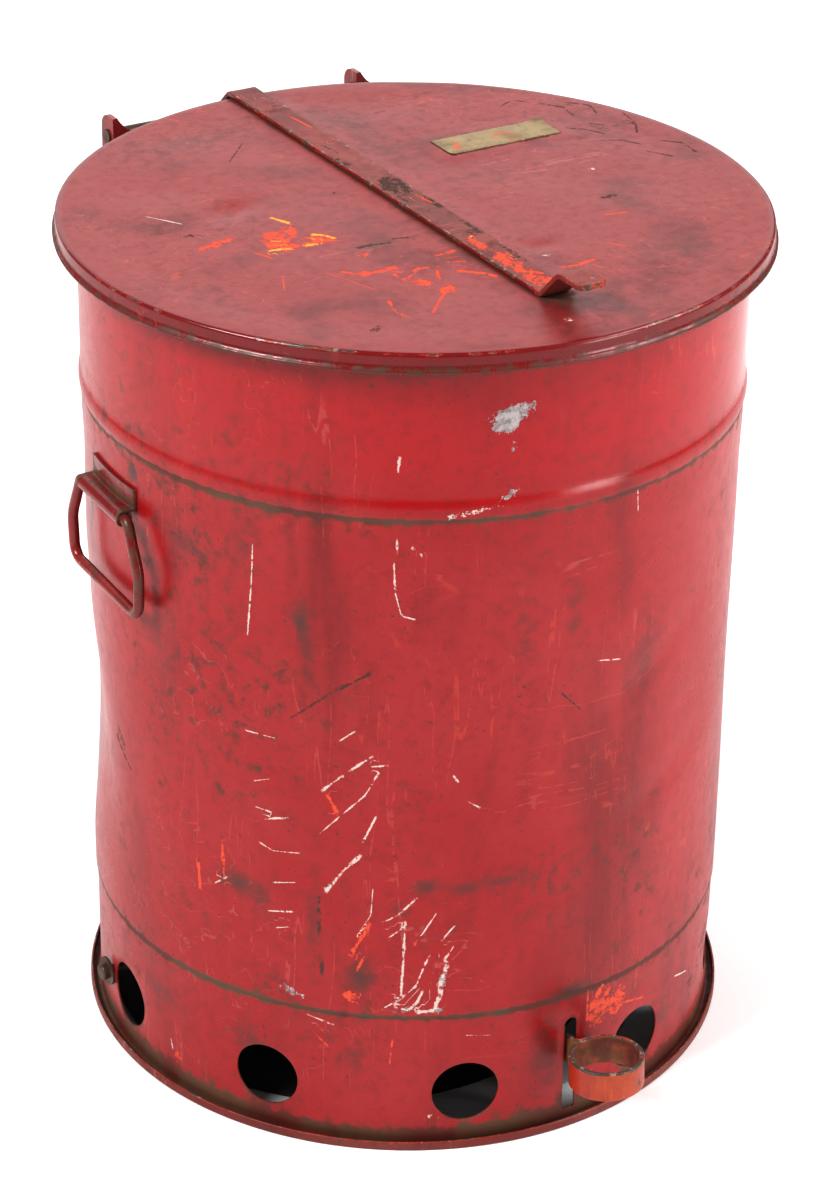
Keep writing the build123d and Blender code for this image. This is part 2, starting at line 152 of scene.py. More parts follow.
# ================================================================ material graphs
class Graph:
    """A short way to write a material's nodes.  Sockets and plain numbers mix freely."""

    def __init__(self, name):
        self.material = bpy.data.materials.new(name)
        self.material.use_nodes = True
        self.tree = self.material.node_tree
        self.shader = self.tree.nodes["Principled BSDF"]
        self.place = self.add("ShaderNodeTexCoord").outputs["Object"]

    def add(self, kind, **settings):
        node = self.tree.nodes.new(kind)
        for key, value in settings.items():
            setattr(node, key, value)
        return node

    def feed(self, socket, value):
        if isinstance(value, bpy.types.NodeSocket):
            self.tree.links.new(value, socket)
        else:
            socket.default_value = value

    def maths(self, operation, first, second=0.0, clamp=False):
        node = self.add("ShaderNodeMath", operation=operation, use_clamp=clamp)
        self.feed(node.inputs[0], first)
        self.feed(node.inputs[1], second)
        return node.outputs[0]

    def times(self, *factors):
        product = factors[0]
        for factor in factors[1:]:
            product = self.maths("MULTIPLY", product, factor)
        return product

    def rise(self, value, low, high):
        """0 below low, 1 above high, smooth between."""
        node = self.add("ShaderNodeMapRange", interpolation_type="SMOOTHSTEP")
        self.feed(node.inputs["Value"], value)
        self.feed(node.inputs["From Min"], low)
        self.feed(node.inputs["From Max"], high)
        return node.outputs["Result"]

    def fall(self, value, low, high):
        """1 below low, 0 above high, smooth between."""
        return self.maths("SUBTRACT", 1.0, self.rise(value, low, high))

    def mix(self, factor, first, second):
        """A blend of two colours."""
        node = self.add("ShaderNodeMix", data_type="RGBA")
        self.feed(node.inputs["Factor"], factor)
        for socket, colour in ((node.inputs[6], first), (node.inputs[7], second)):
            self.feed(socket, colour if isinstance(colour, bpy.types.NodeSocket)
                      else (*colour, 1.0))
        return node.outputs[2]

    def stretched(self, scale, turn=(0.0, 0.0, 0.0)):
        node = self.add("ShaderNodeMapping")
        self.feed(node.inputs["Vector"], self.place)
        node.inputs["Rotation"].default_value = tuple(radians(a) for a in turn)
        node.inputs["Scale"].default_value = scale
        return node.outputs["Vector"]

    def noise(self, scale, detail=3.0, rough=0.55, distort=0.0, place=None):
        node = self.add("ShaderNodeTexNoise")
        self.feed(node.inputs["Vector"], place or self.place)
        node.inputs["Scale"].default_value = scale
        node.inputs["Detail"].default_value = detail
        node.inputs["Roughness"].default_value = rough
        node.inputs["Distortion"].default_value = distort
        return node.outputs["Fac"]

    def hairlines(self, place, scale, width, distort=0.3):
        """Thin broken lines where a stretched noise crosses its middle value."""
        wave = self.noise(scale, 2.0, 0.5, distort, place)
        return self.fall(self.maths("ABSOLUTE", self.maths("SUBTRACT", wave, 0.5)),
                         width * 0.4, width)

    def attribute(self, name):
        return self.add("ShaderNodeAttribute", attribute_name=name)

    def field(self, name):
        return self.attribute(name).outputs["Fac"]

    def plus(self, first, second, clamp=False):
        return self.maths("ADD", first, second, clamp)

    def minus(self, first, second, clamp=False):
        return self.maths("SUBTRACT", first, second, clamp)

    def larger(self, first, second):
        return self.maths("MAXIMUM", first, second)

    def sway(self, value, reach, middle=0.5):
        """The value's deviation from its middle, times reach."""
        return self.times(self.minus(value, middle), reach)

    def bump(self, height, distance, strength=1.0, base=None):
        node = self.add("ShaderNodeBump")
        node.inputs["Strength"].default_value = strength
        node.inputs["Distance"].default_value = distance
        self.feed(node.inputs["Height"], height)
        if base is not None:
            self.feed(node.inputs["Normal"], base)
        return node.outputs["Normal"]

    def finish(self, colour, roughness, normal=None):
        self.feed(self.shader.inputs["Base Color"], colour)
        self.feed(self.shader.inputs["Roughness"], roughness)
        if normal is not None:
            self.feed(self.shader.inputs["Normal"], normal)
        return self.material


PALE = (0.62, 0.50, 0.45)
ORANGE = (0.64, 0.078, 0.032)
YELLOW = (0.86, 0.34, 0.035)
INK = (0.060, 0.026, 0.020)
OLIVE = (0.085, 0.056, 0.030)
BROWN = (0.088, 0.024, 0.015)
ZINC = (0.42, 0.39, 0.38)
PATINA, RIM_MUCK = (0.230, 0.140, 0.035), (0.066, 0.036, 0.021)
# The first colour is a cleaner red, brightened on the wall's top band as painted light; the second
# is a painted glow of reflected light under the lid.
CLEAN_LIT_RED, PAINTED_GLOW = (0.350, 0.0022, 0.0050), (1.0, 0.085, 0.022)
RIM_RED = (0.150, 0.0015, 0.003)
CHIP_BASE = 9.0          # the chip field is this much on a chip's outline, and 0 far away
FAR_FROM_STROKES = 50.0  # the scratch field where no stroke is near


def mark_colour(g, tone):
    """The colour of a listed mark: 0 pale, 1 orange, 2 yellow, 3 dark."""
    colour = g.mix(g.rise(tone, 0.4, 0.6), PALE, ORANGE)
    colour = g.mix(g.rise(tone, 1.4, 1.6), colour, YELLOW)
    return g.mix(g.rise(tone, 2.4, 2.6), colour, INK)


def placed_marks(g):
    """(mask, colour, chip mask, chip colour) from the attributes that mark_fields writes."""
    scratch = g.attribute("scratch")
    parts = g.add("ShaderNodeSeparateXYZ")
    g.feed(parts.inputs[0], scratch.outputs["Vector"])
    ragged = g.noise(900.0, 2.0, 0.6)
    broken = g.noise(260.0, 2.0, 0.6)
    across = g.maths("ABSOLUTE", parts.outputs["X"])
    across = g.plus(across, g.sway(ragged, 1.8))
    across = g.plus(across, g.sway(g.noise(110.0), 2.6))
    line = g.times(g.fall(across, 0.45, 1.0), g.fall(parts.outputs["Y"], 0.0, 1.6),
                   g.rise(parts.outputs["Z"], 0.0, 0.15), g.rise(broken, 0.36, 0.48))
    chip = g.field("chip")
    ragged_edge = g.sway(g.noise(420.0, 4.0, 0.65), 9.0)
    blob = g.rise(g.plus(chip, ragged_edge), CHIP_BASE - 0.25, CHIP_BASE + 0.25)
    blob = g.times(blob, g.rise(chip, CHIP_BASE - 5.0, CHIP_BASE - 3.5))
    torn = g.rise(g.noise(170.0, 5.0, 0.75, 0.8), 0.44, 0.52)
    bare = g.rise(g.field("bare"), 0.4, 0.6)
    blob = g.times(blob, g.larger(torn, bare))
    line_colour = mark_colour(g, g.field("scratch_tone"))
    blob_colour = mark_colour(g, g.field("chip_tone"))
    scuffed = g.mix(g.rise(g.noise(300.0, 4.0, 0.7), 0.42, 0.6), ZINC, (0.22, 0.19, 0.19))
    blob_colour = g.mix(bare, blob_colour, scuffed)
    return line, line_colour, blob, blob_colour


def paint(name, deep, faded, fade_low, fade_high, gloss, dirt, scuffs, edge_dark,
          cleaner_lit_red=CLEAN_LIT_RED, pale_muck=OLIVE):
    """Old red enamel: faded blotches, drips of dirt, hairlines, chips and grimy seams, with painted
    light on the wall's top band: a brighter red towards the front right and an orange-red glow under
    the lid.
    """
    g = Graph(name)
    cloud = g.noise(6.5, 5.0, 0.6, 0.4)
    hanging = g.noise(16.0, 4.0, 0.6, 0.2, g.stretched((1.0, 1.0, 0.22)))
    fine = g.noise(140.0, 4.0, 0.65)
    grain = g.noise(1500.0, 2.0, 0.6)

    colour = g.mix(g.rise(cloud, fade_low, fade_high), deep, faded)
    clean_and_lit = g.field("clean_and_lit")
    # Cleaner paint; on the wall's top band it is also brighter towards the front right as painted
    # light.
    colour = g.mix(g.times(clean_and_lit, 0.85), colour, cleaner_lit_red)
    # Painted glow: bright orange-red under the lid that stands in for reflected light.
    colour = g.mix(g.times(g.field("flame"), g.rise(cloud, 0.22, 0.42)), colour, PAINTED_GLOW)
    darker = tuple(0.45 * c for c in deep)
    worn_in = g.minus(1.0, g.times(clean_and_lit, 0.75))
    colour = g.mix(g.times(g.rise(hanging, 0.48, 0.70), worn_in, 0.66), colour, darker)
    colour = g.mix(g.times(g.rise(fine, 0.46, 0.70), 0.30), colour, darker)
    lighter = tuple(min(1.0, 1.35 * c + 0.03) for c in faded)
    colour = g.mix(g.times(g.rise(grain, 0.55, 0.75), 0.22), colour, lighter)

    soil_place = g.rise(g.noise(9.0, 3.0, 0.6, 0.5), 0.47, 0.66)
    soil = g.times(g.rise(g.noise(95.0, 5.0, 0.72, 0.3), 0.50, 0.68), soil_place, dirt, worn_in)
    specks = g.times(g.rise(g.noise(420.0, 2.0, 0.5), 0.66, 0.72), dirt,
                     g.rise(g.noise(22.0, 2.0), 0.42, 0.6))
    colour = g.mix(g.larger(soil, specks), colour, BROWN)

    steep = g.hairlines(g.stretched((1.0, 1.0, 0.09), (8, -14, 0)), 55.0, 0.010)
    slanted = g.hairlines(g.stretched((0.10, 1.0, 1.0), (0, 38, 20)), 48.0, 0.009)
    here = g.rise(g.noise(13.0, 2.0, 0.5, 0.3), 0.50, 0.60)
    there = g.rise(g.noise(11.0, 2.0, 0.5, 0.6, g.stretched((1, 1, 1), (50, 20, 0))), 0.50, 0.60)
    hair = g.times(g.larger(g.times(steep, here), g.times(slanted, there)), scuffs,
                   g.rise(g.noise(170.0, 2.0), 0.42, 0.55))
    colour = g.mix(hair, colour, g.mix(g.rise(cloud, 0.4, 0.6), (0.50, 0.20, 0.17), ORANGE))
    dark_hair = g.times(g.hairlines(g.stretched((0.12, 1.0, 1.0), (0, -42, -25)), 40.0, 0.008),
                        g.rise(g.noise(10.0, 2.0, 0.5, 0.9), 0.56, 0.62), scuffs, 0.8)
    colour = g.mix(dark_hair, colour, INK)

    stain = g.field("stain")
    stained = g.times(stain, g.rise(g.plus(fine, g.times(stain, 0.25)), 0.44, 0.62))
    colour = g.mix(g.times(stained, 0.85), colour, INK)

    grime = g.field("grime")
    caked = g.rise(g.plus(grime, g.sway(fine, 1.3)), 0.30, 0.75)
    muck = g.mix(g.rise(hanging, 0.42, 0.58), pale_muck, BROWN)
    colour = g.mix(g.times(caked, 0.88), colour, muck)

    edge = g.field("edge")
    rub = g.plus(edge, g.sway(g.noise(90.0, 4.0, 0.7), 2.2))
    worn = g.times(g.rise(rub, 0.86, 0.98), g.rise(edge, 0.08, 0.3), edge_dark)
    bared = g.mix(g.rise(g.noise(260.0, 3.0), 0.56, 0.64), (0.070, 0.048, 0.038),
                  (0.26, 0.17, 0.14))
    colour = g.mix(worn, colour, bared)
    rubbed = g.times(g.rise(rub, 0.76, 0.86), g.rise(edge, 0.08, 0.3), edge_dark, 0.4)
    colour = g.mix(g.minus(rubbed, g.times(worn, 0.5), True), colour, ORANGE)

    line, line_colour, blob, blob_colour = placed_marks(g)
    colour = g.mix(g.times(blob, 0.95), colour, blob_colour)
    colour = g.mix(g.times(line, 0.92), colour, line_colour)

    matt = g.larger(g.times(caked, 0.9), g.larger(blob, line))
    matt = g.larger(matt, g.times(soil, 0.6))
    roughness = g.plus(gloss, g.sway(cloud, 0.22, 0.45))
    roughness = g.plus(roughness, g.sway(fine, 0.16))
    roughness = g.minus(roughness, g.times(clean_and_lit, 0.22))
    roughness = g.plus(roughness, g.times(matt, 0.30), True)

    skin = g.bump(g.noise(330.0, 3.0, 0.6), 0.00010, 0.55)
    waves = g.bump(g.noise(26.0, 2.0, 0.5), 0.0006, 0.55, skin)
    cut = g.minus(g.times(caked, 0.6), g.plus(blob, g.times(line, 0.8)))
    cut = g.minus(cut, g.plus(hair, worn))
    normal = g.bump(cut, 0.00016, 0.8, waves)
    g.shader.inputs["Specular IOR Level"].default_value = 0.40
    return g.finish(colour, roughness, normal)


def steel(name, light, dark, rust, shine, gloss, spots):
    """Bare or plated steel with tarnish, rust and dirt."""
    g = Graph(name)
    patch = g.noise(30.0, 5.0, 0.65, 0.4)
    fine = g.noise(320.0, 4.0, 0.7)
    colour = g.mix(g.rise(patch, 0.38, 0.62), light, dark)
    rusty = g.rise(g.plus(fine, g.sway(patch, 1.2)), 0.72 - spots, 0.86 - spots)
    grime = g.field("grime")
    rusty = g.larger(rusty, g.times(grime, g.rise(fine, 0.3, 0.6)))
    colour = g.mix(g.times(rusty, 0.9), colour, rust)
    g.feed(g.shader.inputs["Metallic"], g.minus(shine, g.times(rusty, shine), True))
    roughness = g.plus(gloss, g.times(rusty, 0.35))
    roughness = g.plus(roughness, g.sway(patch, 0.25), True)
    normal = g.bump(g.plus(fine, rusty), 0.00012, 0.7)
    return g.finish(colour, roughness, normal)


def brass(name):
    """Tarnished yellow brass with smears of the lid's paint."""
    g = Graph(name)
    patch = g.noise(60.0, 4.0, 0.6, 0.5)
    fine = g.noise(420.0, 4.0, 0.7)
    rolled = g.noise(260.0, 2.0, 0.5, 0.0, g.stretched((0.06, 1.0, 1.0)))
    colour = g.mix(g.rise(patch, 0.36, 0.64), (0.34, 0.245, 0.125), (0.225, 0.155, 0.072))
    colour = g.mix(g.times(g.rise(rolled, 0.42, 0.62), 0.3), colour, (0.40, 0.31, 0.19))
    specks = g.rise(fine, 0.60, 0.68)
    colour = g.mix(g.times(specks, 0.75), colour, (0.10, 0.062, 0.030))
    smear = g.times(g.rise(g.noise(75.0, 4.0, 0.7, 0.6), 0.54, 0.60), g.field("smear"))
    colour = g.mix(g.times(smear, 0.9), colour, (0.62, 0.10, 0.045))
    edge = g.field("edge")
    colour = g.mix(g.times(edge, g.rise(fine, 0.38, 0.55), 0.7), colour, (0.13, 0.075, 0.035))
    dull = g.larger(specks, smear)
    g.feed(g.shader.inputs["Metallic"], g.minus(0.55, g.times(dull, 0.55), True))
    roughness = g.plus(0.46, g.times(dull, 0.3))
    normal = g.bump(g.minus(g.times(smear, 0.6), specks), 0.00010, 0.6)
    return g.finish(colour, roughness, normal)


def oily_steel(name, pale):
    """The inside of the can: dull steel, stained by oily rags, with rust low down."""
    g = Graph(name)
    parts = g.add("ShaderNodeSeparateXYZ")
    g.feed(parts.inputs[0], g.place)
    runs = g.noise(20.0, 4.0, 0.6, 0.2, g.stretched((1.0, 1.0, 0.15)))
    patch = g.noise(12.0, 5.0, 0.65, 0.6)
    fine = g.noise(240.0, 4.0, 0.7)
    light, dark, streak = [tuple(pale * c for c in tone) for tone in
                           ((0.200, 0.180, 0.165), (0.110, 0.090, 0.078),
                            (0.060, 0.040, 0.028))]
    colour = g.mix(g.rise(patch, 0.4, 0.62), light, dark)
    colour = g.mix(g.times(g.rise(runs, 0.48, 0.66), 0.7), colour, streak)
    low = g.fall(parts.outputs["Z"], 0.12, 0.26)
    rusty = g.rise(g.plus(fine, g.times(low, 0.22)), 0.60, 0.74)
    colour = g.mix(g.times(rusty, 0.8 * pale), colour, (0.17, 0.065, 0.028))
    g.shader.inputs["Metallic"].default_value = 0.35
    roughness = g.plus(0.42, g.times(rusty, 0.3))
    return g.finish(colour, roughness, g.bump(fine, 0.00015, 0.6))


RED, PINK = (0.300, 0.0045, 0.0066), (0.315, 0.0145, 0.0170)
body_paint = paint("body paint", RED, PINK, 0.36, 0.66, 0.30, 0.90, 0.22, 0.8)
lid_paint = paint("lid paint", (0.222, 0.021, 0.022), (0.250, 0.035, 0.035),
                  0.34, 0.66, 0.40, 0.45, 0.25, 1.0, RIM_RED, RIM_MUCK)
strap_paint = paint("strap paint", (0.165, 0.014, 0.012), (0.225, 0.038, 0.031),
                    0.40, 0.60, 0.46, 1.0, 0.7, 1.0, RIM_RED)
lever_paint = paint("lever paint", (0.42, 0.034, 0.014), (0.36, 0.062, 0.020),
                    0.40, 0.60, 0.34, 1.0, 0.3, 1.0, CLEAN_LIT_RED, PATINA)
handle_paint = paint("handle paint", (0.165, 0.010, 0.010), (0.235, 0.024, 0.021),
                     0.38, 0.62, 0.22, 1.1, 0.4, 0.9)
ring_paint = paint("foot ring paint", (0.170, 0.018, 0.013), (0.190, 0.046, 0.031),
                   0.40, 0.62, 0.42, 1.6, 0.4, 1.0)
grimy = steel("grimy steel", (0.16, 0.105, 0.075), (0.075, 0.045, 0.032),
              (0.120, 0.045, 0.022), 0.55, 0.45, 0.10)
bright = steel("bare steel", (0.52, 0.50, 0.48), (0.30, 0.28, 0.26),
               (0.20, 0.10, 0.055), 0.9, 0.32, 0.02)
galvanised = steel("galvanised floor", (0.30, 0.31, 0.31), (0.15, 0.14, 0.13),
                   (0.13, 0.060, 0.030), 0.6, 0.48, 0.12)
plate_brass = brass("brass")
inside = oily_steel("oily inside", 1.0)
# The skirt's inner face: sooty, and darkened further as painted shade inside the base.
under = oily_steel("sooty underside painted as shade", 0.16)


# ================================================================ mesh helpers
def make_piece(name, points, faces, materials, face_material=None, fields=None, sharp=38.0):
    """A smooth-shaded mesh object from points in millimetres."""
    mesh = bpy.data.meshes.new(name)
    mesh.from_pydata((np.asarray(points) * MM).tolist(), [], faces)
    for material in materials:
        mesh.materials.append(material)
    if face_material is not None:
        mesh.polygons.foreach_set("material_index", np.asarray(face_material, dtype=np.int32))
    for key, values in (fields or {}).items():
        if values.ndim == 2:
            layer = mesh.attributes.new(key, "FLOAT_VECTOR", "POINT")
            layer.data.foreach_set("vector", values.astype(np.float32).ravel())
        else:
            layer = mesh.attributes.new(key, "FLOAT", "POINT")
            layer.data.foreach_set("value", values.astype(np.float32).ravel())
    mesh.shade_smooth()
    mesh.set_sharp_from_angle(angle=radians(sharp))
    mesh.update()
    piece = bpy.data.objects.new(name, mesh)
    bpy.context.collection.objects.link(piece)
    return piece


def put(piece, body, slot, *nodes):
    """The piece rides on the body and stands for the CAD nodes, which are hidden; the slot is not
    used.
    """
    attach(piece, body)
    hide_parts(*nodes)


def tube_faces(rows, columns, close_rows=True, close_columns=True):
    """Quads of a grid whose point (row, column) has the number row * columns + column."""
    faces = []
    for row in range(rows if close_rows else rows - 1):
        here, after = row * columns, (row + 1) % rows * columns
        for column in range(columns if close_columns else columns - 1):
            beside = (column + 1) % columns
            faces.append((here + column, here + beside, after + beside, after + column))
    return faces


def bar_faces(rows, columns, flip=False):
    """Quads of a bar's skin with a cap at each end; flip turns the caps over."""
    ring = range(columns)
    caps = (ring, reversed(ring)) if not flip else (reversed(ring), ring)
    faces = tube_faces(rows, columns, close_rows=False)
    faces.append(tuple(caps[0]))
    faces.append(tuple((rows - 1) * columns + k for k in caps[1]))
    return faces


def directions(line):
    """The unit tangent at each point of a line."""
    ahead = np.gradient(line, axis=0)
    return ahead / np.linalg.norm(ahead, axis=1)[:, None]


def round_points(reach, angle, z):
    """Points at the distance reach from the can's axis."""
    z = np.broadcast_to(z, reach.shape)
    return np.stack((reach * np.sin(angle), -reach * np.cos(angle), z), axis=-1).reshape(-1, 3)


def bell(value, centre, width):
    """1 at the centre, 0 far from it."""
    return np.exp(-((value - centre) / width) ** 2)


def knocks(angle, *places):
    """A sum of bells round the can, each given by degrees, width in radians and depth."""
    return sum(depth * bell(angle, radians(at), width) for at, width, depth in places)


def eased(value):
    """0 to 1 with soft ends."""
    return value * value * (3 - 2 * value)


def extended(fields, count, grime=0.0):
    """The fields with count more points that carry no marks."""
    longer = {}
    for key, field in fields.items():
        tail = np.zeros((count,) + field.shape[1:])
        if key == "scratch":
            tail[:, :2] = FAR_FROM_STROKES
        if key == "grime":
            tail += grime
        longer[key] = np.concatenate((field, tail))
    return longer


def steps(*runs):
    """Evenly spaced numbers along the (start, end, spacing) runs, without the last end."""
    values = []
    for start, end, spacing in runs:
        count = max(1, round(abs(end - start) / spacing))
        values.extend(np.linspace(start, end, count, endpoint=False))
    return values


def arc_points(centre, radius, start, end, count):
    """Points on an arc, with angles in degrees."""
    return [(centre[0] + radius * cos(radians(a)), centre[1] + radius * sin(radians(a)))
            for a in np.linspace(start, end, count)]


def rounded(points, radii):
    """A polyline's points with each inner corner rounded, as closely spaced points."""
    points = [np.asarray(p, dtype=float) for p in points]
    path = [points[0]]
    for before, corner, after, radius in zip(points, points[1:], points[2:], radii):
        into = (corner - before) / np.linalg.norm(corner - before)
        out = (after - corner) / np.linalg.norm(after - corner)
        turn = np.arccos(np.clip(into @ out, -1, 1))
        setback = radius * np.tan(turn / 2)
        inward = (out - into) / np.linalg.norm(out - into)
        centre = corner + inward * radius / np.cos(turn / 2)
        first = corner - into * setback - centre
        for part in np.linspace(0, turn, max(4, int(turn / radians(7)))):
            path.append(centre + first * np.cos(part) + into * radius * np.sin(part))
    path.append(points[-1])
    return resampled(path)


def resampled(path, longest=4.0):
    """The same path with long straight runs divided."""
    result = [path[0]]
    for here, there in zip(path, path[1:]):
        count = max(1, int(np.ceil(np.linalg.norm(there - here) / longest)))
        result.extend(here + (there - here) * k / count for k in range(1, count + 1))
    return np.array(result)


def bar_outline(half_width, half_height, corner, per_corner=4, along_side=3):
    """A rectangle with rounded corners, anticlockwise from the right side."""
    outline = []
    for quarter, (sx, sy) in enumerate(((1, 1), (-1, 1), (-1, -1), (1, -1))):
        centre = (sx * (half_width - corner), sy * (half_height - corner))
        outline += arc_points(centre, corner, 90 * quarter, 90 * quarter + 90, per_corner)
        ahead = ((-1, 1), (-1, -1), (1, -1), (1, 1))[quarter]
        target = (ahead[0] * (half_width - corner) if quarter in (0, 2) else ahead[0] * half_width,
                  ahead[1] * half_height if quarter in (0, 2) else ahead[1] * (half_height - corner))
        last = outline[-1]
        for k in range(1, along_side + 1):
            part = k / (along_side + 1)
            outline.append((last[0] + (target[0] - last[0]) * part,
                            last[1] + (target[1] - last[1]) * part))
    return np.array(outline)


# ================================================================ wear given one by one
def mark_fields(u, v, strokes, chips, stains=()):
    """Per-point fields of listed wear on a surface with flat coordinates u, v in mm.

    The rows, with mark_colour's tones, are strokes: (width, tone, u, v, u, v, ...),
    chips: (u, v, half length, half width, degrees, tone, bare)
    and stains: (u, v, reach in u, reach in v, strength).
    """
    fade_out = 4.5
    nearest = np.full(u.shape, 1e6)
    across, beyond = np.full((2, *u.shape), FAR_FROM_STROKES)
    tone = np.zeros(u.shape)
    for width, shade, *line in strokes:
        points = list(zip(line[::2], line[1::2]))
        for start, end in zip(points, points[1:]):
            length = hypot(end[0] - start[0], end[1] - start[1])
            du, dv = (end[0] - start[0]) / length, (end[1] - start[1]) / length
            along = (u - start[0]) * du + (v - start[1]) * dv
            side = (v - start[1]) * du - (u - start[0]) * dv
            past = np.maximum(np.abs(along - length / 2) - length / 2, 0)
            distance = np.hypot(np.maximum(np.abs(side) - width / 2, 0), past)
            closer = distance < nearest
            nearest[closer] = distance[closer]
            across[closer] = side[closer] / (width / 2)
            beyond[closer] = past[closer]
            tone[closer] = shade
    near = np.clip(1 - nearest / fade_out, 0, 1)
    chip, chip_tone, bare = np.zeros(u.shape), np.zeros(u.shape), np.zeros(u.shape)
    for cu, cv, half_length, half_width, angle, shade, metal in chips:
        c, s = cos(radians(angle)), sin(radians(angle))
        a = ((u - cu) * c + (v - cv) * s) / half_length
        b = ((v - cv) * c - (u - cu) * s) / half_width
        inside_by = CHIP_BASE + (1 - np.hypot(a, b)) * min(half_length, half_width)
        closer = inside_by > chip
        chip[closer] = inside_by[closer]
        chip_tone[closer] = shade
        bare[closer] = metal
    stain = np.zeros(u.shape)
    for su, sv, reach_u, reach_v, strength in stains:
        stain = np.maximum(stain, strength * np.exp(-((u - su) / reach_u) ** 2
                                                    - ((v - sv) / reach_v) ** 2))
    return {"scratch": np.stack((across, beyond, near), axis=-1).reshape(-1, 3),
            "scratch_tone": tone.ravel(), "chip": chip.ravel(),
            "chip_tone": chip_tone.ravel(), "bare": bare.ravel(), "stain": stain.ravel()}


def round_can(strokes):
    """Strokes given by azimuth in degrees and height, as lengths round the wall and heights."""
    return [(width, tone, *(value if k % 2 else radians(value) * BODY_R for k,
                            value in enumerate(line))) for width, tone, *line in strokes]


def round_can_spots(spots):
    """Spots whose first number is an azimuth in degrees, as lengths round the wall."""
    return [(radians(spot[0]) * BODY_R, *spot[1:]) for spot in spots]


WALL_STROKES = round_can([
    # long light scratches of the middle of the wall
    (1.2, 0, -57.8, 385, -58.1, 362, -58.9, 329), (1.9, 0, -33.2, 449, -33.5, 441),
    (1.5, 0, -33.5, 400, -33.4, 393), (1.1, 0, -33.9, 386, -33.7, 369, -32.6, 354, -30.6, 352),
    (0.9, 0, -59.3, 267, -54.3, 267), (1.2, 0, -42.4, 273, -40.2, 279),
    # the two hooked gouges and the drip between them
    (1.7, 0, -40.8, 254, -37.2, 264), (1.9, 0, -45.5, 239, -42.1, 250),
    (1.3, 0, -45.8, 211, -41.8, 226, -38.2, 239, -36.0, 254), (1.5, 0, -36.9, 258, -34.7, 259),
    (3.0, 1, -44.6, 236, -43.0, 226), (1.4, 0, -38.4, 209, -36.4, 225),
    (2.0, 0, -44.7, 173, -42.8, 183, -41.3, 190, -38.9, 199),
    # short dashes to the left
    (1.5, 0, -57.4, 219, -54.9, 218), (1.4, 0, -55.6, 213, -51.6, 217),
    (1.2, 0, -57.7, 236, -55.4, 239), (1.2, 0, -56.7, 196, -54.4, 193, -49.8, 195),
    (1.0, 0, -54.1, 172, -50.5, 175), (1.1, 0, -55.0, 152, -50.9, 155),
    (1.1, 0, -53.5, 142, -51.6, 144), (1.5, 0, -65.9, 159, -63.7, 165),
    (2.6, 1, -69.8, 172, -69.4, 151), (2.4, 1, -64.4, 186, -64.1, 159),
    # the cluster above the lower seam
    (0.8, 0, -36.7, 177, -37.0, 160, -39.4, 145), (2.6, 1, -37.1, 154, -38.7, 143, -40.4, 132),
    (1.6, 1, -38.1, 131, -39.2, 122), (1.3, 0, -34.7, 156, -32.3, 161, -29.4, 172),
    (1.5, 0, -33.7, 146, -31.3, 153), (1.8, 0, -31.1, 156, -31.4, 125, -31.7, 104),
    (1.4, 0, -34.7, 97, -31.7, 104, -29.1, 113, -27.7, 127, -26.7, 134),
    (1.8, 0, -32.4, 98, -30.4, 96, -28.8, 102, -28.0, 109),
    (2.8, 0, -28.7, 95, -25.8, 96, -25.0, 106, -24.9, 115, -23.8, 127),
    (1.2, 0, -24.7, 144, -22.8, 152), (1.4, 0, -24.2, 131, -22.9, 138),
    (1.0, 0, -28.2, 148, -26.0, 161), (1.2, 1, -29.4, 141, -28.7, 147),
    (1.5, 0, -23.4, 252, -22.8, 249), (1.3, 0, -20.8, 235, -19.1, 231),
    (1.0, 0, 1.8, 311, 6.5, 307), (1.2, 0, 8.6, 410, 8.9, 398),
    # black rubs
    (2.2, 3, -51.1, 282, -44.2, 302, -37.6, 317), (2.4, 3, -46.0, 168, -46.0, 143),
    (2.6, 3, -45.4, 127, -45.4, 116), (2.4, 3, -94.1, 215, -91.5, 209, -88.3, 202),
    (1.8, 3, -93.0, 222, -90.5, 214), (1.4, 3, -6.0, 300, -1.0, 282),
    # a few at the sides and back, of the same kinds
    (1.2, 0, 52.0, 330, 58.0, 322, 61.0, 300), (1.5, 0, 74.0, 210, 79.0, 214),
    (1.3, 0, 118.0, 380, 121.0, 352), (1.5, 0, 139.0, 240, 146.0, 226, 150.0, 224),
    (2.2, 1, 172.0, 196, 166.0, 180), (1.4, 0, -137.0, 300, -131.0, 281),
    (1.2, 0, -152.0, 160, -149.0, 138), (2.4, 3, 97.0, 150, 103.0, 146),
])

WALL_CHIPS = round_can_spots([
    # az, z, half length, half width, turn, tone, bare metal
    (-15.4, 472.5, 11.5, 4.2, 14, 0, 1), (-16.4, 466.5, 7.5, 4.8, 4, 0, 1),
    (-12.8, 476.0, 4.5, 1.7, 12, 0, 1), (-14.9, 452.5, 0.9, 1.8, 0, 0, 1),
    (-15.2, 425.0, 5.0, 1.4, 28, 0, 1), (-21.5, 416.5, 8.0, 0.9, 12, 0, 0),
    (-50.5, 100.5, 6.0, 1.8, -22, 0, 1), (-24.6, 117.0, 2.0, 4.2, -14, 0, 1),
    (-44.4, 175.0, 2.8, 1.7, 40, 0, 1), (-25.6, 95.5, 4.4, 1.6, 5, 0, 1),
    (-31.0, 96.5, 4.0, 1.3, 8, 0, 1), (-40.0, 104.0, 5.0, 4.0, 0, 1, 0),
    (-31.0, 395.0, 0.9, 0.9, 0, 0, 0), (-29.5, 392.0, 0.8, 1.2, 0, 0, 0),
    (64.0, 452.0, 6.0, 2.4, 20, 0, 1), (126.0, 168.0, 4.0, 6.0, 0, 1, 0),
])

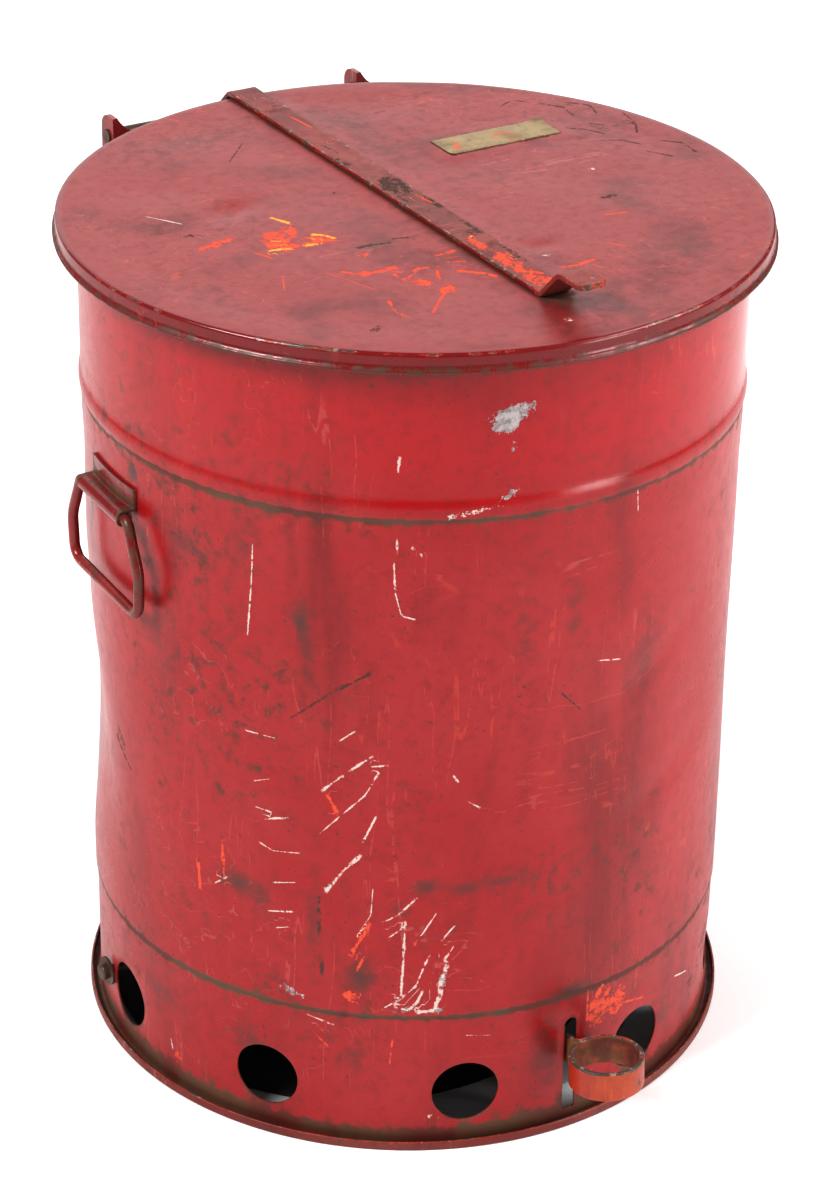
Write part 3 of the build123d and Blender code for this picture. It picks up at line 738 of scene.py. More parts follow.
WALL_STAINS = round_can_spots([
    (-49.3, 344, 6, 13, 1.0), (-48.3, 326, 4, 22, 0.6), (-84.7, 399, 4, 6, 1.2),
    (-38.5, 117, 9, 11, 1.0), (-27.8, 180, 9, 5, 0.9), (-20.7, 177, 11, 4, 0.8),
    (-61.5, 165, 14, 7, 0.9), (-57.0, 160, 10, 12, 0.6), (-0.8, 92, 13, 6, 1.2),
    (-13.0, 180, 24, 6, 0.6), (-47.0, 150, 5, 30, 0.5), (-70.0, 372, 22, 9, 0.55),
    (-30.0, 496, 60, 4, 0.5), (-60.0, 385, 8, 26, 0.45), (-12.0, 345, 6, 30, 0.4),
    (-3.0, 345, 5, 24, 0.45), (12.0, 300, 16, 26, 0.45), (-78.0, 300, 12, 40, 0.35),
    (84.0, 330, 12, 40, 0.6), (120.0, 210, 26, 22, 0.6), (-150.0, 240, 20, 30, 0.6),
])

WALL_DENTS = round_can_spots([
    # az, z, half length, half width, turn, depth
    (-114.0, 208, 44, 56, 0, 6.2), (-112.0, 290, 30, 22, 0, 0.8), (14.0, 292, 52, 10, 28, 0.9),
    (20.0, 214, 60, 12, 24, 1.0), (4.0, 236, 14, 34, -18, 0.8), (27.0, 250, 26, 20, 0, 1.3),
    (-8.0, 316, 30, 7, 52, 0.5), (-100.0, 180, 26, 40, 20, 1.6), (130.0, 200, 50, 44, 0, 3.2),
    (-150.0, 330, 36, 30, 30, 2.2), (-62.0, 250, 30, 44, 0, 0.6),
])


def dented(u, v, dents):
    """How far the sheet is pushed in by soft dents."""
    depth = np.zeros(np.broadcast(u, v).shape)
    for du, dv, half_length, half_width, angle, deep in dents:
        c, s = cos(radians(angle)), sin(radians(angle))
        a = ((u - du) * c + (v - dv) * s) / half_length
        b = ((v - dv) * c - (u - du) * s) / half_width
        depth = depth + deep * np.exp(-(a * a + b * b))
    return depth


# ================================================================ container wall
def wall_push(azimuth, z):
    """Inward push of the wall, fading out at the bead, the rim and the base."""
    firm = np.clip((z - 104) / 40, 0, 1) * np.clip((BEAD_LOW - 6 - z) / 36, 0, 1)
    firm = eased(firm)
    u = np.radians(azimuth) * BODY_R
    ripples = (0.28 * (1 + np.sin(3 * np.radians(azimuth) + z / 61))
               + 0.20 * (1 + np.sin(7 * np.radians(azimuth) - z / 37 + 1.3))
               + 0.10 * (1 + np.sin(17 * np.radians(azimuth) + z / 23 + 0.4)))
    return firm * (dented(u, z, WALL_DENTS) + ripples)


def can_wall():
    """The container wall: flat sheet, stiffening bead, curled rim, and its inside."""
    bead_mid = (BEAD_LOW + BEAD_HIGH) / 2
    half = (BEAD_HIGH - BEAD_LOW) / 2
    arc_r = (half ** 2 + BEAD_PROUD ** 2) / (2 * BEAD_PROUD)
    spread = np.degrees(asin(half / arc_r))
    bead_out = arc_points((BODY_R + BEAD_PROUD - arc_r, bead_mid), arc_r, -spread, spread, 13)
    inner_r = BODY_R - SHEET
    bead_in = [(r - SHEET, z) for r, z in reversed(bead_out)]
    lower = [(BODY_R, z) for z in steps((SEAM_Z + 0.4, 285, 2.2), (285, BEAD_LOW, 3.2))]
    upper = [(BODY_R, z) for z in steps((BEAD_HIGH, CURL_Z, 3.6))]
    curl = arc_points((CURL_R, CURL_Z), CURL_TUBE, -118, 180, 18)
    down = [(inner_r, z) for z in steps((CURL_Z, BEAD_HIGH, 12.0))][1:]
    down_low = [(inner_r, z) for z in steps((BEAD_LOW, SEAM_Z, 12.0))]
    loop = ([(BODY_R - 0.3, SEAM_Z)] + lower + bead_out[:-1] + upper + curl + down
            + bead_in + down_low[1:] + [(inner_r, SEAM_Z)])
    outer_count = 1 + len(lower) + len(bead_out) - 1 + len(upper) + len(curl)
    azimuths = np.array(steps((-180, -112, 1.05), (-112, -76, 0.8), (-76, -14, 0.5),
                              (-14, 60, 0.85), (60, 180, 1.05)))
    profile = np.array(loop)
    a, r = azimuths[:, None], profile[None, :, 0]
    z = np.broadcast_to(profile[None, :, 1], (len(a), profile.shape[0]))
    reach = r - wall_push(a, z)
    points = round_points(reach, np.radians(a), z)
    columns = profile.shape[0]
    faces = tube_faces(len(azimuths), columns)
    within = [outer_count <= face[0] % columns < columns - 1 for face in faces]
    u = np.broadcast_to(np.radians(a) * BODY_R, z.shape)
    fields = mark_fields(u, z, WALL_STROKES, WALL_CHIPS, WALL_STAINS)
    level = profile[:, 1]
    grime = (1.30 * bell(level, SEAM_Z, 1.5)
             + 0.36 * bell(level, SEAM_Z, 9)
             + 0.84 * bell(level - BEAD_LOW, 0.6, 1.7)
             + 0.40 * bell(level - BEAD_LOW, -5, 6)
             + 0.50 * bell(level - BEAD_HIGH, 0.4, 0.9)
             + 0.40 * bell(level, 503, 4.0))
    side = 0.88 + 0.20 * np.sin(np.radians(a) * 3 + 4.5)
    fields["grime"] = np.broadcast_to(grime[None, :] * side, z.shape).ravel()
    edge = 0.42 * bell(level - bead_mid, 1.0, 2.2)
    fields["edge"] = np.broadcast_to(edge[None, :], z.shape).ravel()
    # Cleaner paint above the bead under the lid's overhang, made brighter towards the front right as
    # painted light.
    above_bead = np.clip((level - BEAD_HIGH + 6) / 30, 0, 1)
    clean_and_lit = above_bead * (0.50 + 0.50 * np.cos(np.radians(a - 15)))
    fields["clean_and_lit"] = clean_and_lit.ravel()
    # Painted glow just under the lid, strongest at the front right and weaker at the left, standing
    # in for reflected light.
    ahead = bell(a, 14, 34) + 0.4 * bell(a, -75, 14)
    flame = np.exp(-(np.clip(491 - level, 0, None) / 17) ** 2) * ahead
    fields["flame"] = np.clip(flame, 0, 1).ravel()
    piece = make_piece("can_wall", points, faces, [body_paint, inside], within, fields)
    put(piece, "can", "red_paint", "body_shell")


# ================================================================ base skirt
def skirt_holes():
    """Holes on the unrolled skirt: kind, u, bottom (or middle), half width and top."""
    holes = []
    for index in range(VENTS):
        u = radians((index + 0.5) * 360 / VENTS + HANDLE_TURN) * SKIRT_OUT
        holes.append(("round", u, VENT_Z, VENT_R, VENT_Z))
    pivot = pi / 2 + asin(PIVOT_Y / SKIRT_OUT)
    for side in (-1, 1):
        holes.append(("round", side * pivot * SKIRT_OUT, PIVOT_Z, PIN_R + RUNNING, PIVOT_Z))
    half = SLOT_WIDTH / 2
    holes.append(("slot", 0.0, SLOT_LOW, half, SLOT_HIGH))
    holes.append(("slot", pi * SKIRT_OUT, SLOT_LOW, half, REAR_SLOT_HIGH))
    return holes


def hole_gap(hole, u, v):
    """Distance outside a hole's edge, negative within it."""
    kind, cu, low, half, high = hole
    around = 2 * pi * SKIRT_OUT
    du = (u - cu + around / 2) % around - around / 2
    if kind == "round":
        return np.hypot(du, v - low) - half
    dv = np.where(v > high - half, v - (high - half), 0.0)
    straight = np.maximum(np.abs(du) - half, low - v)
    return np.where(v > high - half, np.hypot(du, dv) - half, straight)


def hole_outline(hole, grow, start):
    """Points round a hole, grow mm outside its edge, as u from start round the can."""
    kind, cu, low, half, high = hole
    around = 2 * pi * SKIRT_OUT
    if kind == "round":
        count = 64 if half > 10 else 20
        ring = arc_points((cu, low), half + grow, 0, 360 - 360 / count, count)
    else:
        bottom = max(low - grow, SKIRT_LOW + 1.0)
        wide = half + grow
        ring = arc_points((cu, high - half), wide, 0, 180, 17)
        ring += [(cu - wide, z) for z in steps((high - half, bottom, 3.0))[1:]]
        ring += [(u, bottom) for u in np.linspace(cu - wide, cu + wide, 5)]
        ring += [(cu + wide, z) for z in steps((bottom, high - half, 3.0))[1:]]
    return [((u - start) % around, v) for u, v in ring]


def skirt_sheet():
    """The vented base: a sheet with punched holes, rolled round the can."""
    around = 2 * pi * SKIRT_OUT
    start = radians(142) * SKIRT_OUT
    holes = skirt_holes()
    levels = np.linspace(SKIRT_LOW, SKIRT_HIGH, 27)
    columns = 340
    rim_width, rim_clearance = 1.1, 3.4
    grid = [(column * around / columns, z) for column in range(columns + 1) for z in levels]
    u = np.array([p[0] for p in grid]) + start
    v = np.array([p[1] for p in grid])
    clear = np.min([hole_gap(hole, u, v) for hole in holes], axis=0)
    flat = [Vector(p) for p, gap in zip(grid, clear) if gap > rim_clearance]
    edges = []
    for hole in holes:
        for grow in (0.0, rim_width):
            ring = hole_outline(hole, grow, start)
            first = len(flat)
            flat.extend(Vector(p) for p in ring)
            edges.extend((first + k, first + (k + 1) % len(ring)) for k in range(len(ring)))
    made, _, triangles, *_ = delaunay_2d_cdt(flat, edges, [], 0, 1e-4)
    flat = np.array([(p.x, p.y) for p in made])
    centres = np.array([flat[list(t)].mean(axis=0) for t in triangles])
    outside = np.min([hole_gap(hole, centres[:, 0] + start, centres[:, 1]) for hole in holes],
                     axis=0) > 0
    triangles = [t for t, keep in zip(triangles, outside) if keep]
    # the last column of the flat sheet is the first one again
    seam_of = {round(p[1], 3): k for k, p in enumerate(flat) if p[0] < 1e-3}
    same = {k: seam_of[round(p[1], 3)] for k, p in enumerate(flat) if p[0] > around - 1e-3}
    triangles = [tuple(same.get(k, k) for k in t) for t in triangles]
    used = sorted({k for t in triangles for k in t})
    number = {k: i for i, k in enumerate(used)}
    triangles = [tuple(number[k] for k in t) for t in triangles]
    flat = flat[used]
    angle = (flat[:, 0] + start) / SKIRT_OUT
    angle = (angle + pi) % (2 * pi) - pi
    z = flat[:, 1]
    gap = np.min([hole_gap(hole, flat[:, 0] + start, z) for hole in holes], axis=0)
    dished = 0.35 * np.clip(1 - gap / 2.2, 0, 1)
    calm = np.clip((z - 8) / 12, 0, 1) * np.clip((84 - z) / 12, 0, 1)
    push = dished + calm * (0.35 * (1 + np.sin(5 * angle + 0.7)) + 0.2 * (1 + np.sin(13 * angle)))
    count = len(flat)
    points = np.concatenate([round_points(radius - push, angle, z)
                             for radius in (SKIRT_OUT, SKIRT_IN)])
    faces = list(triangles) + [tuple(count + k for k in reversed(t)) for t in triangles]
    within = [False] * len(triangles) + [True] * len(triangles)
    sides = [pair for t in triangles for pair in zip(t, t[1:] + t[:1])]
    known = set(sides)
    for here, there in sides:
        if (there, here) not in known:
            faces.append((there, here, count + here, count + there))
            within.append(False)
    u = angle * BODY_R
    fields = mark_fields(u, z, SKIRT_STROKES, SKIRT_CHIPS, SKIRT_STAINS)
    grime = (0.95 * bell(z, 6, 4.5) + 0.60 * bell(z, 8, 12) + 0.95 * bell(z, SEAM_Z, 1.8) + 0.30
             * bell(z, 84, 8) + 0.55 * np.exp(-gap / 1.2))
    fields["grime"] = grime * (0.85 + 0.25 * np.sin(angle * 4 + 1.0))
    fields["edge"] = 0.7 * np.exp(-gap / 0.8)
    fields = {key: np.concatenate((field, field)) for key, field in fields.items()}
    piece = make_piece("skirt_sheet", points, faces, [body_paint, under], within, fields)
    put(piece, "can", "red_paint", "base_skirt")


SKIRT_STROKES = round_can([
    (1.6, 1, 12.0, 67, 17.5, 62), (2.0, 1, 3.2, 88, 3.6, 66), (1.4, 0, -77.9, 30, -77.5, 24),
    (1.4, 0, -48.0, 86, -43.5, 82), (1.1, 1, -47.0, 74, -44.5, 66), (1.3, 1, -33.0, 74, -33.4, 58),
    (1.0, 0, -20.0, 76, -16.0, 74), (1.0, 3, -56.5, 70, -56.0, 60), (1.4, 0, 28.0, 58, 33.0, 52),
    (1.3, 0, 70.0, 72, 78.0, 70), (1.6, 1, 144.0, 60, 140.0, 42),
])

SKIRT_CHIPS = round_can_spots([
    (6.2, 74.0, 15.0, 8.0, 80, 1, 0), (10.4, 70.0, 11.0, 6.0, 70, 1, 0),
    (-26.0, 20.0, 3.0, 1.4, 0, 0, 0), (-76.0, 20.0, 2.4, 3.6, 0, 1, 0),
    (-60.0, 84.0, 2.6, 1.2, 0, 0, 1), (-88.0, 62.0, 3.0, 1.6, 0, 3, 0),
    (45.0, 24.0, 3.4, 1.6, 0, 1, 0), (-140.0, 70.0, 4.0, 2.0, 0, 0, 1),
])

SKIRT_STAINS = round_can_spots([
    (-5.0, 60, 9, 26, 0.7), (-58.9, 58, 16, 8, 0.7), (-40.0, 62, 10, 20, 0.4),
    (-80.0, 60, 20, 10, 0.5), (24.0, 40, 10, 14, 0.5), (60.0, 50, 30, 14, 0.5),
    (-120.0, 60, 26, 14, 0.6), (170.0, 60, 30, 16, 0.6),
])


# ================================================================ foot ring
def foot_hoop():
    """The rolled ring under the skirt, with a grimy groove inside its lip."""
    lip_in = RING_OUT - RING_SHEET
    lip_mid = RING_OUT - RING_SHEET / 2
    loop = [(RING_IN, 0.3), (RING_IN + 0.3, 0.0)]
    loop += [(r, 0.0) for r in np.linspace(RING_IN + 1.2, RING_OUT - 1.6, 4)]
    loop += arc_points((RING_OUT - 1.2, 1.2), 1.2, -90, 0, 5)
    loop += [(RING_OUT, z) for z in (2.0, 2.9, 3.8, 4.6)]
    loop += arc_points((lip_mid, RING_HIGH - RING_SHEET / 2), RING_SHEET / 2, 0, 180, 7)
    loop += [(lip_in, z) for z in (4.4, 3.4, 2.4)]
    loop += arc_points((lip_in - 0.7, RING_SHEET + 0.7), 0.7, 0, -90, 4)
    loop += [(r, RING_SHEET) for r in (193.4, 191.6, RING_IN + 0.3)] + [(RING_IN, 1.2)]
    profile = np.array(loop)
    azimuths = np.linspace(-180, 180, 361)[:-1]
    a = np.radians(azimuths)[:, None]
    r, z = np.broadcast_arrays(profile[None, :, 0], profile[None, :, 1])
    tall = np.clip((z - 2.0) / 4.0, 0, 1)
    nick = (0.30 * (1 + np.sin(9 * a + 0.6)) + 0.16 * (1 + np.sin(23 * a + 2.0))
            + knocks(a, (-66, 0.05, 0.9), (14, 0.04, 0.7)))
    outer = np.clip((r - 193.0) / 3.0, 0, 1)
    reach = r - 0.5 * nick * tall * outer
    height = z - 0.55 * nick * tall * outer
    points = round_points(reach, a, height)
    faces = tube_faces(len(azimuths), len(loop))
    groove = bell(profile[:, 0], 193.6, 1.9) * (profile[:, 1] > 1.0)
    low = bell(profile[:, 1], 0, 1.6)
    crest = bell(profile[:, 1], RING_HIGH, 0.8)
    lean = 0.75 + 0.35 * np.sin(a * 2 - 2.4)
    fields = {"grime": ((groove + 0.6 * low) * lean).ravel(),
              "edge": (crest * np.ones_like(a) * 0.85).ravel()}
    piece = make_piece("foot_hoop", points, faces, [ring_paint], None, fields, sharp=60.0)
    put(piece, "can", "grimy_red_paint", "foot_ring")


# ================================================================ lid
LID_STROKES = [
    # the scribble of old orange paint in front of the middle
    (4.0, 1, -84, -62, -76, -72, -66, -71, -55, -70), (4.0, 1, -61, -78, -59, -88),
    (2.6, 1, -57, -86, -45, -77, -34, -80), (2.0, 1, -36, -82, -44, -98),
    (2.6, 1, -68, -131, -55, -117, -45, -108), (3.4, 1, -27, -90, -18, -99, -14, -108),
    (3.2, 1, -27, -67, -15, -67), (2.2, 1, -26, -77, -18, -81),
    (2.0, 1, -81, -107, -85, -120, -83, -132), (3.6, 1, -134, 5, -124, 6, -114, 9),
    # the yellow and orange patch
    (4.6, 2, -104, -17, -98, -18, -92, -21), (4.2, 2, -84, -21, -79, -21, -75, -23),
    (3.2, 2, -72, -9, -68, -12, -64, -19), (2.2, 2, -96, -6, -90, -10), (2.4, 2, -80, 24, -75, 11),
    (1.6, 1, -112, -16, -108, -26),
    # to the right of the strap
    (3.0, 1, 24, -113, 34, -115, 46, -113), (2.0, 1, 88, -62, 101, -65),
    (1.4, 1, 66, -96, 74, -108),
    # thin scores
    (0.9, 1, -115, -52, -122, -66), (0.8, 1, -92, -60, -80, -92), (0.9, 0, -140, 60, -128, 42),
    (0.9, 3, -60, 110, -40, 132),
    # hair-like black scribbles near the plate
    (1.9, 3, 150, 106, 160, 92, 158, 78), (1.6, 3, 166, 98, 176, 88, 172, 74),
    (1.6, 3, 143, 62, 152, 56, 158, 44), (1.9, 3, 160, 62, 170, 52, 182, 50),
    (1.6, 3, 186, 66, 184, 50, 176, 36), (1.6, 3, 150, 36, 162, 30, 168, 18),
    (1.9, 3, 180, 20, 190, 8, 188, -8), (1.6, 3, 164, 8, 172, -6),
    (1.6, 3, 128, 112, 140, 118, 146, 108),
    # dark rubs
    (3.0, 3, -60, -38, -50, -38, -41, -40), (2.0, 3, -36, -36, -28, -38),
]

LID_CHIPS = [
    # x, y, half length, half width, turn, tone, bare metal
    (-95, -8, 15.0, 7.0, 70, 1, 0), (-84, -2, 12.0, 5.0, 60, 1, 0), (-88, -18, 14.0, 4.6, 5, 1, 0),
    (-73, -17, 10.0, 5.0, -30, 1, 0), (-125, 6, 12.0, 3.6, 8, 1, 0),
    (-53, -94, 6.0, 4.0, -30, 1, 0), (-44, -107, 6.5, 4.5, 50, 1, 0),
    (-62, -48, 3.5, 2.0, 0, 1, 0), (-74, -70, 5.0, 3.0, 0, 1, 0), (27, -96, 2.2, 1.4, 0, 0, 0),
    (-140, -76, 1.2, 1.0, 0, 0, 0), (-12, -176, 2.4, 1.6, 0, 0, 0),
    (-106, -136, 4.5, 2.2, 20, 3, 0), (-131, 24, 5.0, 1.8, -20, 3, 0),
    (105, -40, 4.5, 2.0, 10, 3, 0), (-30, 40, 2.0, 1.2, 0, 3, 0), (120, 0, 1.5, 1.2, 0, 0, 0),
    (-40, 150, 3.0, 1.4, 10, 1, 0), (60, 140, 2.4, 1.2, 0, 3, 0),
]

LID_STAINS_AND_TAB_SHADOW = [
    # The first two, under the raised tab, are an oily smear with painted shadow.
    (2, -160, 13, 16, 0.9), (-20, -182, 14, 9, 0.4), (-14, -60, 3, 60, 0.5),
    (-104, 34, 20, 6, 0.35), (-50, -38, 18, 5, 0.6), (60, 20, 30, 14, 0.3),
    (165, 60, 26, 40, 0.35), (-160, -60, 14, 26, 0.35), (90, -120, 26, 14, 0.4),
    (30, 100, 16, 40, 0.45), (-60, 150, 40, 14, 0.4),
]

LID_DENTS = [
    # x, y, half length, half width, turn, depth
    (-92, 47, 15, 10, 30, 2.4), (-104, 36, 34, 16, 20, 0.8), (31, -82, 12, 8, 0, 1.2),
    (-60, -110, 40, 26, 30, 0.8), (110, -30, 46, 30, 40, 0.9), (-120, 90, 44, 26, -30, 0.9),
    (60, 150, 40, 20, 0, 0.7), (-150, -30, 26, 40, 0, 0.7),
]


def lid_pan():
    """The flat lid: a dented disc with a turned-down, hemmed rim."""
    under, rim_in = LID_TOP - LID_SHEET, LID_R - LID_SHEET
    corner = (LID_R - LID_CORNER, LID_TOP - LID_CORNER)
    loop = [(r, LID_TOP) for r in steps((2.0, corner[0], 2.7))]
    loop += arc_points(corner, LID_CORNER, 90, 0, 7)
    loop += [(LID_R, z) for z in steps((corner[1] - 0.8, HEM_Z + 1.6, 1.2))]
    loop += arc_points((HEM_R, HEM_Z), HEM_TUBE, 70, -200, 14)
    inner_round = LID_CORNER - LID_SHEET
    loop += [(rim_in, z) for z in steps((HEM_Z + 1.0, under - inner_round, 2.0))]
    loop += arc_points((rim_in - inner_round, under - inner_round), inner_round, 0, 90, 4)
    loop += [(r, under) for r in steps((rim_in - 3.0, 2.0, 9.0))] + [(2.0, under)]
    profile = np.array(loop)
    top_count = next(k for k, p in enumerate(loop) if p[1] < HEM_Z - 1.2) + 3
    azimuths = np.linspace(-180, 180, 373)[:-1]
    a = np.radians(azimuths)[:, None]
    r, z = np.broadcast_arrays(profile[None, :, 0], profile[None, :, 1])
    flat_x, flat_y = r * np.sin(a), -r * np.cos(a)
    # dents leave the strap, the plate and the rim where they are
    strap_gap = np.clip((np.abs(flat_x) - STRAP_HALF) / 16, 0, 1)
    plate_gap = np.hypot(np.clip(np.abs(flat_x - PLATE_AT[0]) - PLATE_SIZE[0] / 2, 0, None),
                         np.clip(np.abs(flat_y - PLATE_AT[1]) - PLATE_SIZE[1] / 2, 0, None))
    calm = strap_gap * np.clip(plate_gap / 14, 0, 1) * np.clip((LID_R - 6 - r) / 26, 0, 1)
    calm = eased(calm)
    ripples = (0.22 * (1 + np.sin(flat_x / 31 + 0.8)) + 0.18 * (1 + np.sin(flat_y / 24))
               + 0.12 * (1 + np.sin((flat_x + flat_y) / 17 + 2.0)))
    drop = calm * (dented(flat_x, flat_y, LID_DENTS) + ripples)
    knock = knocks(a, (-56, 0.10, 0.5), (-18, 0.06, 0.35), (34, 0.08, 0.4), (150, 0.09, 0.5))
    rim = np.clip((r - 196) / 8, 0, 1)
    wave = 0.16 * (1 + np.sin(6 * a + 0.5)) + 0.10 * (1 + np.sin(15 * a))
    reach = r - rim * (0.8 * knock + wave)
    height = z - drop - rim * 0.4 * knock
    points = round_points(reach, a, height)
    rows, columns = len(azimuths), len(loop)
    faces = tube_faces(rows, columns, close_columns=False)
    within = [face[0] % columns >= top_count for face in faces]
    middle = len(points)
    points = np.concatenate((points, [(0, 0, LID_TOP), (0, 0, under)]))
    for row in range(rows):
        after = (row + 1) % rows
        faces.append((row * columns, after * columns, middle))
        faces.append((after * columns + columns - 1, row * columns + columns - 1, middle + 1))
        within += [False, True]
    fields = mark_fields(flat_x, flat_y, LID_STROKES, LID_CHIPS, LID_STAINS_AND_TAB_SHADOW)
    on_top = z > LID_TOP - 0.2
    beside = np.clip(np.abs(flat_x) - STRAP_HALF, 0, None)
    seam = np.exp(-beside / 1.6) * (flat_y > -148) * on_top * 1.1
    near_plate = np.exp(-plate_gap / 1.1) * on_top * 0.9
    # An oily smear with painted shadow on the lid under the raised tab.
    tab_muck_and_shadow = 0.75 * np.exp(-(flat_x / 11) ** 2 - ((flat_y + 152) / 9) ** 2)
    rim_muck = 0.46 * np.clip((LID_TOP - 3.5 - z) / 4.0, 0, 1) + 0.10 * (z < HEM_Z + 1.8)
    grime = np.maximum(np.maximum(seam, near_plate), np.maximum(tab_muck_and_shadow, rim_muck))
    arris = np.exp(-(np.hypot(r - LID_R + 0.6, z - LID_TOP + 0.6) / 1.7) ** 2)
    glossy = knocks(a, (-8, 0.16, 0.55), (-64, 0.12, 0.60))
    worn = knocks(a, (-47, 0.16, 0.36), (-26, 0.30, 0.26))
    along = 0.76 - glossy + worn + 0.16 * np.sin(a * 5 + 1.0)
    fields["grime"] = grime.ravel()
    fields["edge"] = (arris * along).ravel()
    # The turned-down rim gets cleaner, deep red paint.
    turned_down = np.clip((r - LID_R + 3.2) / 1.2, 0, 1)
    fields["clean_and_lit"] = np.broadcast_to(turned_down, flat_x.shape).ravel()
    fields = extended(fields, 2)
    piece = make_piece("lid_pan", points, faces, [lid_paint, inside], within, fields)
    put(piece, "lid", "red_paint", "lid_cover")


# ================================================================ strap with its finger tab
STRAP_STROKES = [
    (7.0, 1, -4, -120, 3, -128, 5, -136), (5.0, 1, 2, -104, -3, -114), (3.2, 1, 5, -88, 1, -96),
    (2.0, 1, -3, -62, -1, -76), (2.0, 1, 4, 6, 6, -8), (3.4, 3, -2, 36, 3, 22),
    (2.6, 3, 4, 24, 5, 12), (2.0, 3, -6, 10, -5, 0), (2.2, 3, 1, -54, 3, -60),
    (1.6, 3, -4, 100, -2, 84), (1.4, 1, 3, 150, 5, 128),
]

STRAP_CHIPS = [
    (0, -128, 15.0, 6.5, 84, 1, 0), (-2, -100, 15.0, 5.0, 86, 1, 0), (-3, -72, 9.0, 3.0, 88, 1, 0),
    (0, 24, 15.0, 8.0, 80, 3, 0), (7, -10, 13.0, 2.4, 90, 3, 0), (7, -50, 10.0, 2.2, 90, 3, 0),
    (7, -90, 12.0, 2.0, 90, 3, 0), (-7, 70, 9.0, 1.8, 90, 3, 0), (6, -150, 3.0, 1.4, 80, 3, 0),
    (-6, -177, 2.4, 1.4, 30, 3, 0), (3, -181.4, 4.5, 1.0, 0, 1, 0), (3, -176, 1.2, 1.0, 0, 0, 0),
]


TAB_TIP, TAB_BEND, TAB_FOOT, TAB_RISE = -182.0, -160.0, -143.5, 17.4
STRAP_BACK = 206.0       # where the strap leaves the lid for the hinge rod


def strap_line():
    """The strap's middle line in (y, z), from the tab's tip to where it meets the knuckle."""
    middle = LID_TOP + STRAP_THICK / 2
    wrap = KNUCKLE_R - STRAP_THICK / 2
    fall_y, rise_z = PIN_Y - STRAP_BACK, middle - PIN_Z
    lean = atan2(rise_z, fall_y) - asin(wrap / hypot(fall_y, rise_z))
    touch = (PIN_Y + wrap * sin(lean), PIN_Z + wrap * cos(lean))
    corners = [(TAB_TIP, middle + TAB_RISE), (TAB_BEND, middle + TAB_RISE), (TAB_FOOT, middle),
               (STRAP_BACK, middle), touch]
    tab_round, foot_round, back_round = 9.0, 4.0, 4.0
    return rounded(corners, (tab_round, foot_round, back_round))


def strap_bar():
    """A flat bar along the lid that ends in a raised tab and wraps round the hinge rod."""
    line = strap_line()
    tip = line[0]
    near_tip = [tip + np.array((s, 0.0)) for s in (0.0, 0.25, 0.8, 1.6, 2.6, 3.8, 5.0, 6.2)]
    rest_from = 7
    line = np.concatenate((near_tip, line[line[:, 0] > tip[0] + rest_from]))
    ahead = directions(line)
    outline = bar_outline(STRAP_HALF, STRAP_THICK / 2, 0.75, 4, 9)
    tip_r, tab_from = 6.0, -140
    points, across, along = [], [], []
    for (y, z), (ty, tz) in zip(line, ahead):
        past = y - tip[0]
        narrow = tip_r - sqrt(max(tip_r ** 2 - (tip_r - past) ** 2, 0)) if past < tip_r else 0
        half = STRAP_HALF - narrow
        for w, h in outline:
            wide = w * half / STRAP_HALF
            free = np.clip((tab_from - y) / 14, 0, 1)
            hammered = 0.12 * sin(y / 9.0 + w * 0.3) * (h > 0) - 0.10
            sag = -0.35 * free * (w / STRAP_HALF) ** 2
            up = h + (hammered + sag) * (0.6 if h > 0 else 0.0) + sag * (h < 0)
            points.append((wide, y - tz * up, z + ty * up))
            across.append(w)
            along.append(y)
    faces = bar_faces(len(line), len(outline))
    across, along = np.array(across), np.array(along)
    side = np.clip((np.abs(across) - STRAP_HALF + 1.1) / 0.9, 0, 1)
    tab = along < tab_from
    fields = mark_fields(across, along, STRAP_STROKES, STRAP_CHIPS)
    height = np.array([p[2] for p in points])
    fields["grime"] = np.where(tab, 0.15 * side, 0.30 * side)
    low = (height < LID_TOP + 0.9) & ~tab
    fields["grime"] = np.where(low, 0.95, fields["grime"])
    arris = np.exp(-((np.abs(across) - STRAP_HALF + 0.8) / 1.3) ** 2) * (height > LID_TOP + 1.5)
    fields["edge"] = arris * np.where(tab, 0.80, 1.08)
    fields["edge"] = np.where(along < -180.5, 1.0, fields["edge"])
    fields["clean_and_lit"] = 0.8 * side * (height < LID_TOP + 2.6) * ~tab
    fields["stain"] = 0.50 * bell(along, -5, 60)
    knuckle_points, knuckle_faces = knuckles()
    start = len(points)
    points += knuckle_points
    faces += [tuple(start + k for k in face) for face in knuckle_faces]
    fields = extended(fields, len(knuckle_points), 0.5)
    piece = make_piece("strap_bar", points, faces, [strap_paint], None, fields, sharp=50.0)
    put(piece, "lid", "worn_red_paint", "lid_strap")


def knuckles():
    """Two rings round the hinge rod, with the lift crank's gap between them."""
    inner, outer = PIN_R + RUNNING, KNUCKLE_R
    gap = STRAP_THICK / 2
    points, faces = [], []
    for low, high in ((-STRAP_HALF, -gap), (gap, STRAP_HALF)):
        loop = [(low, inner), (low, outer - 0.5), (low + 0.5, outer), (high - 0.5, outer),
                (high, outer - 0.5), (high, inner)]
        first, turns = len(points), 40
        for turn in range(turns):
            angle = 2 * pi * turn / turns
            points += [(x, PIN_Y + r * cos(angle), PIN_Z + r * sin(angle)) for x, r in loop]
        faces += [tuple(first + k for k in face) for face in tube_faces(turns, len(loop))]
    return points, faces


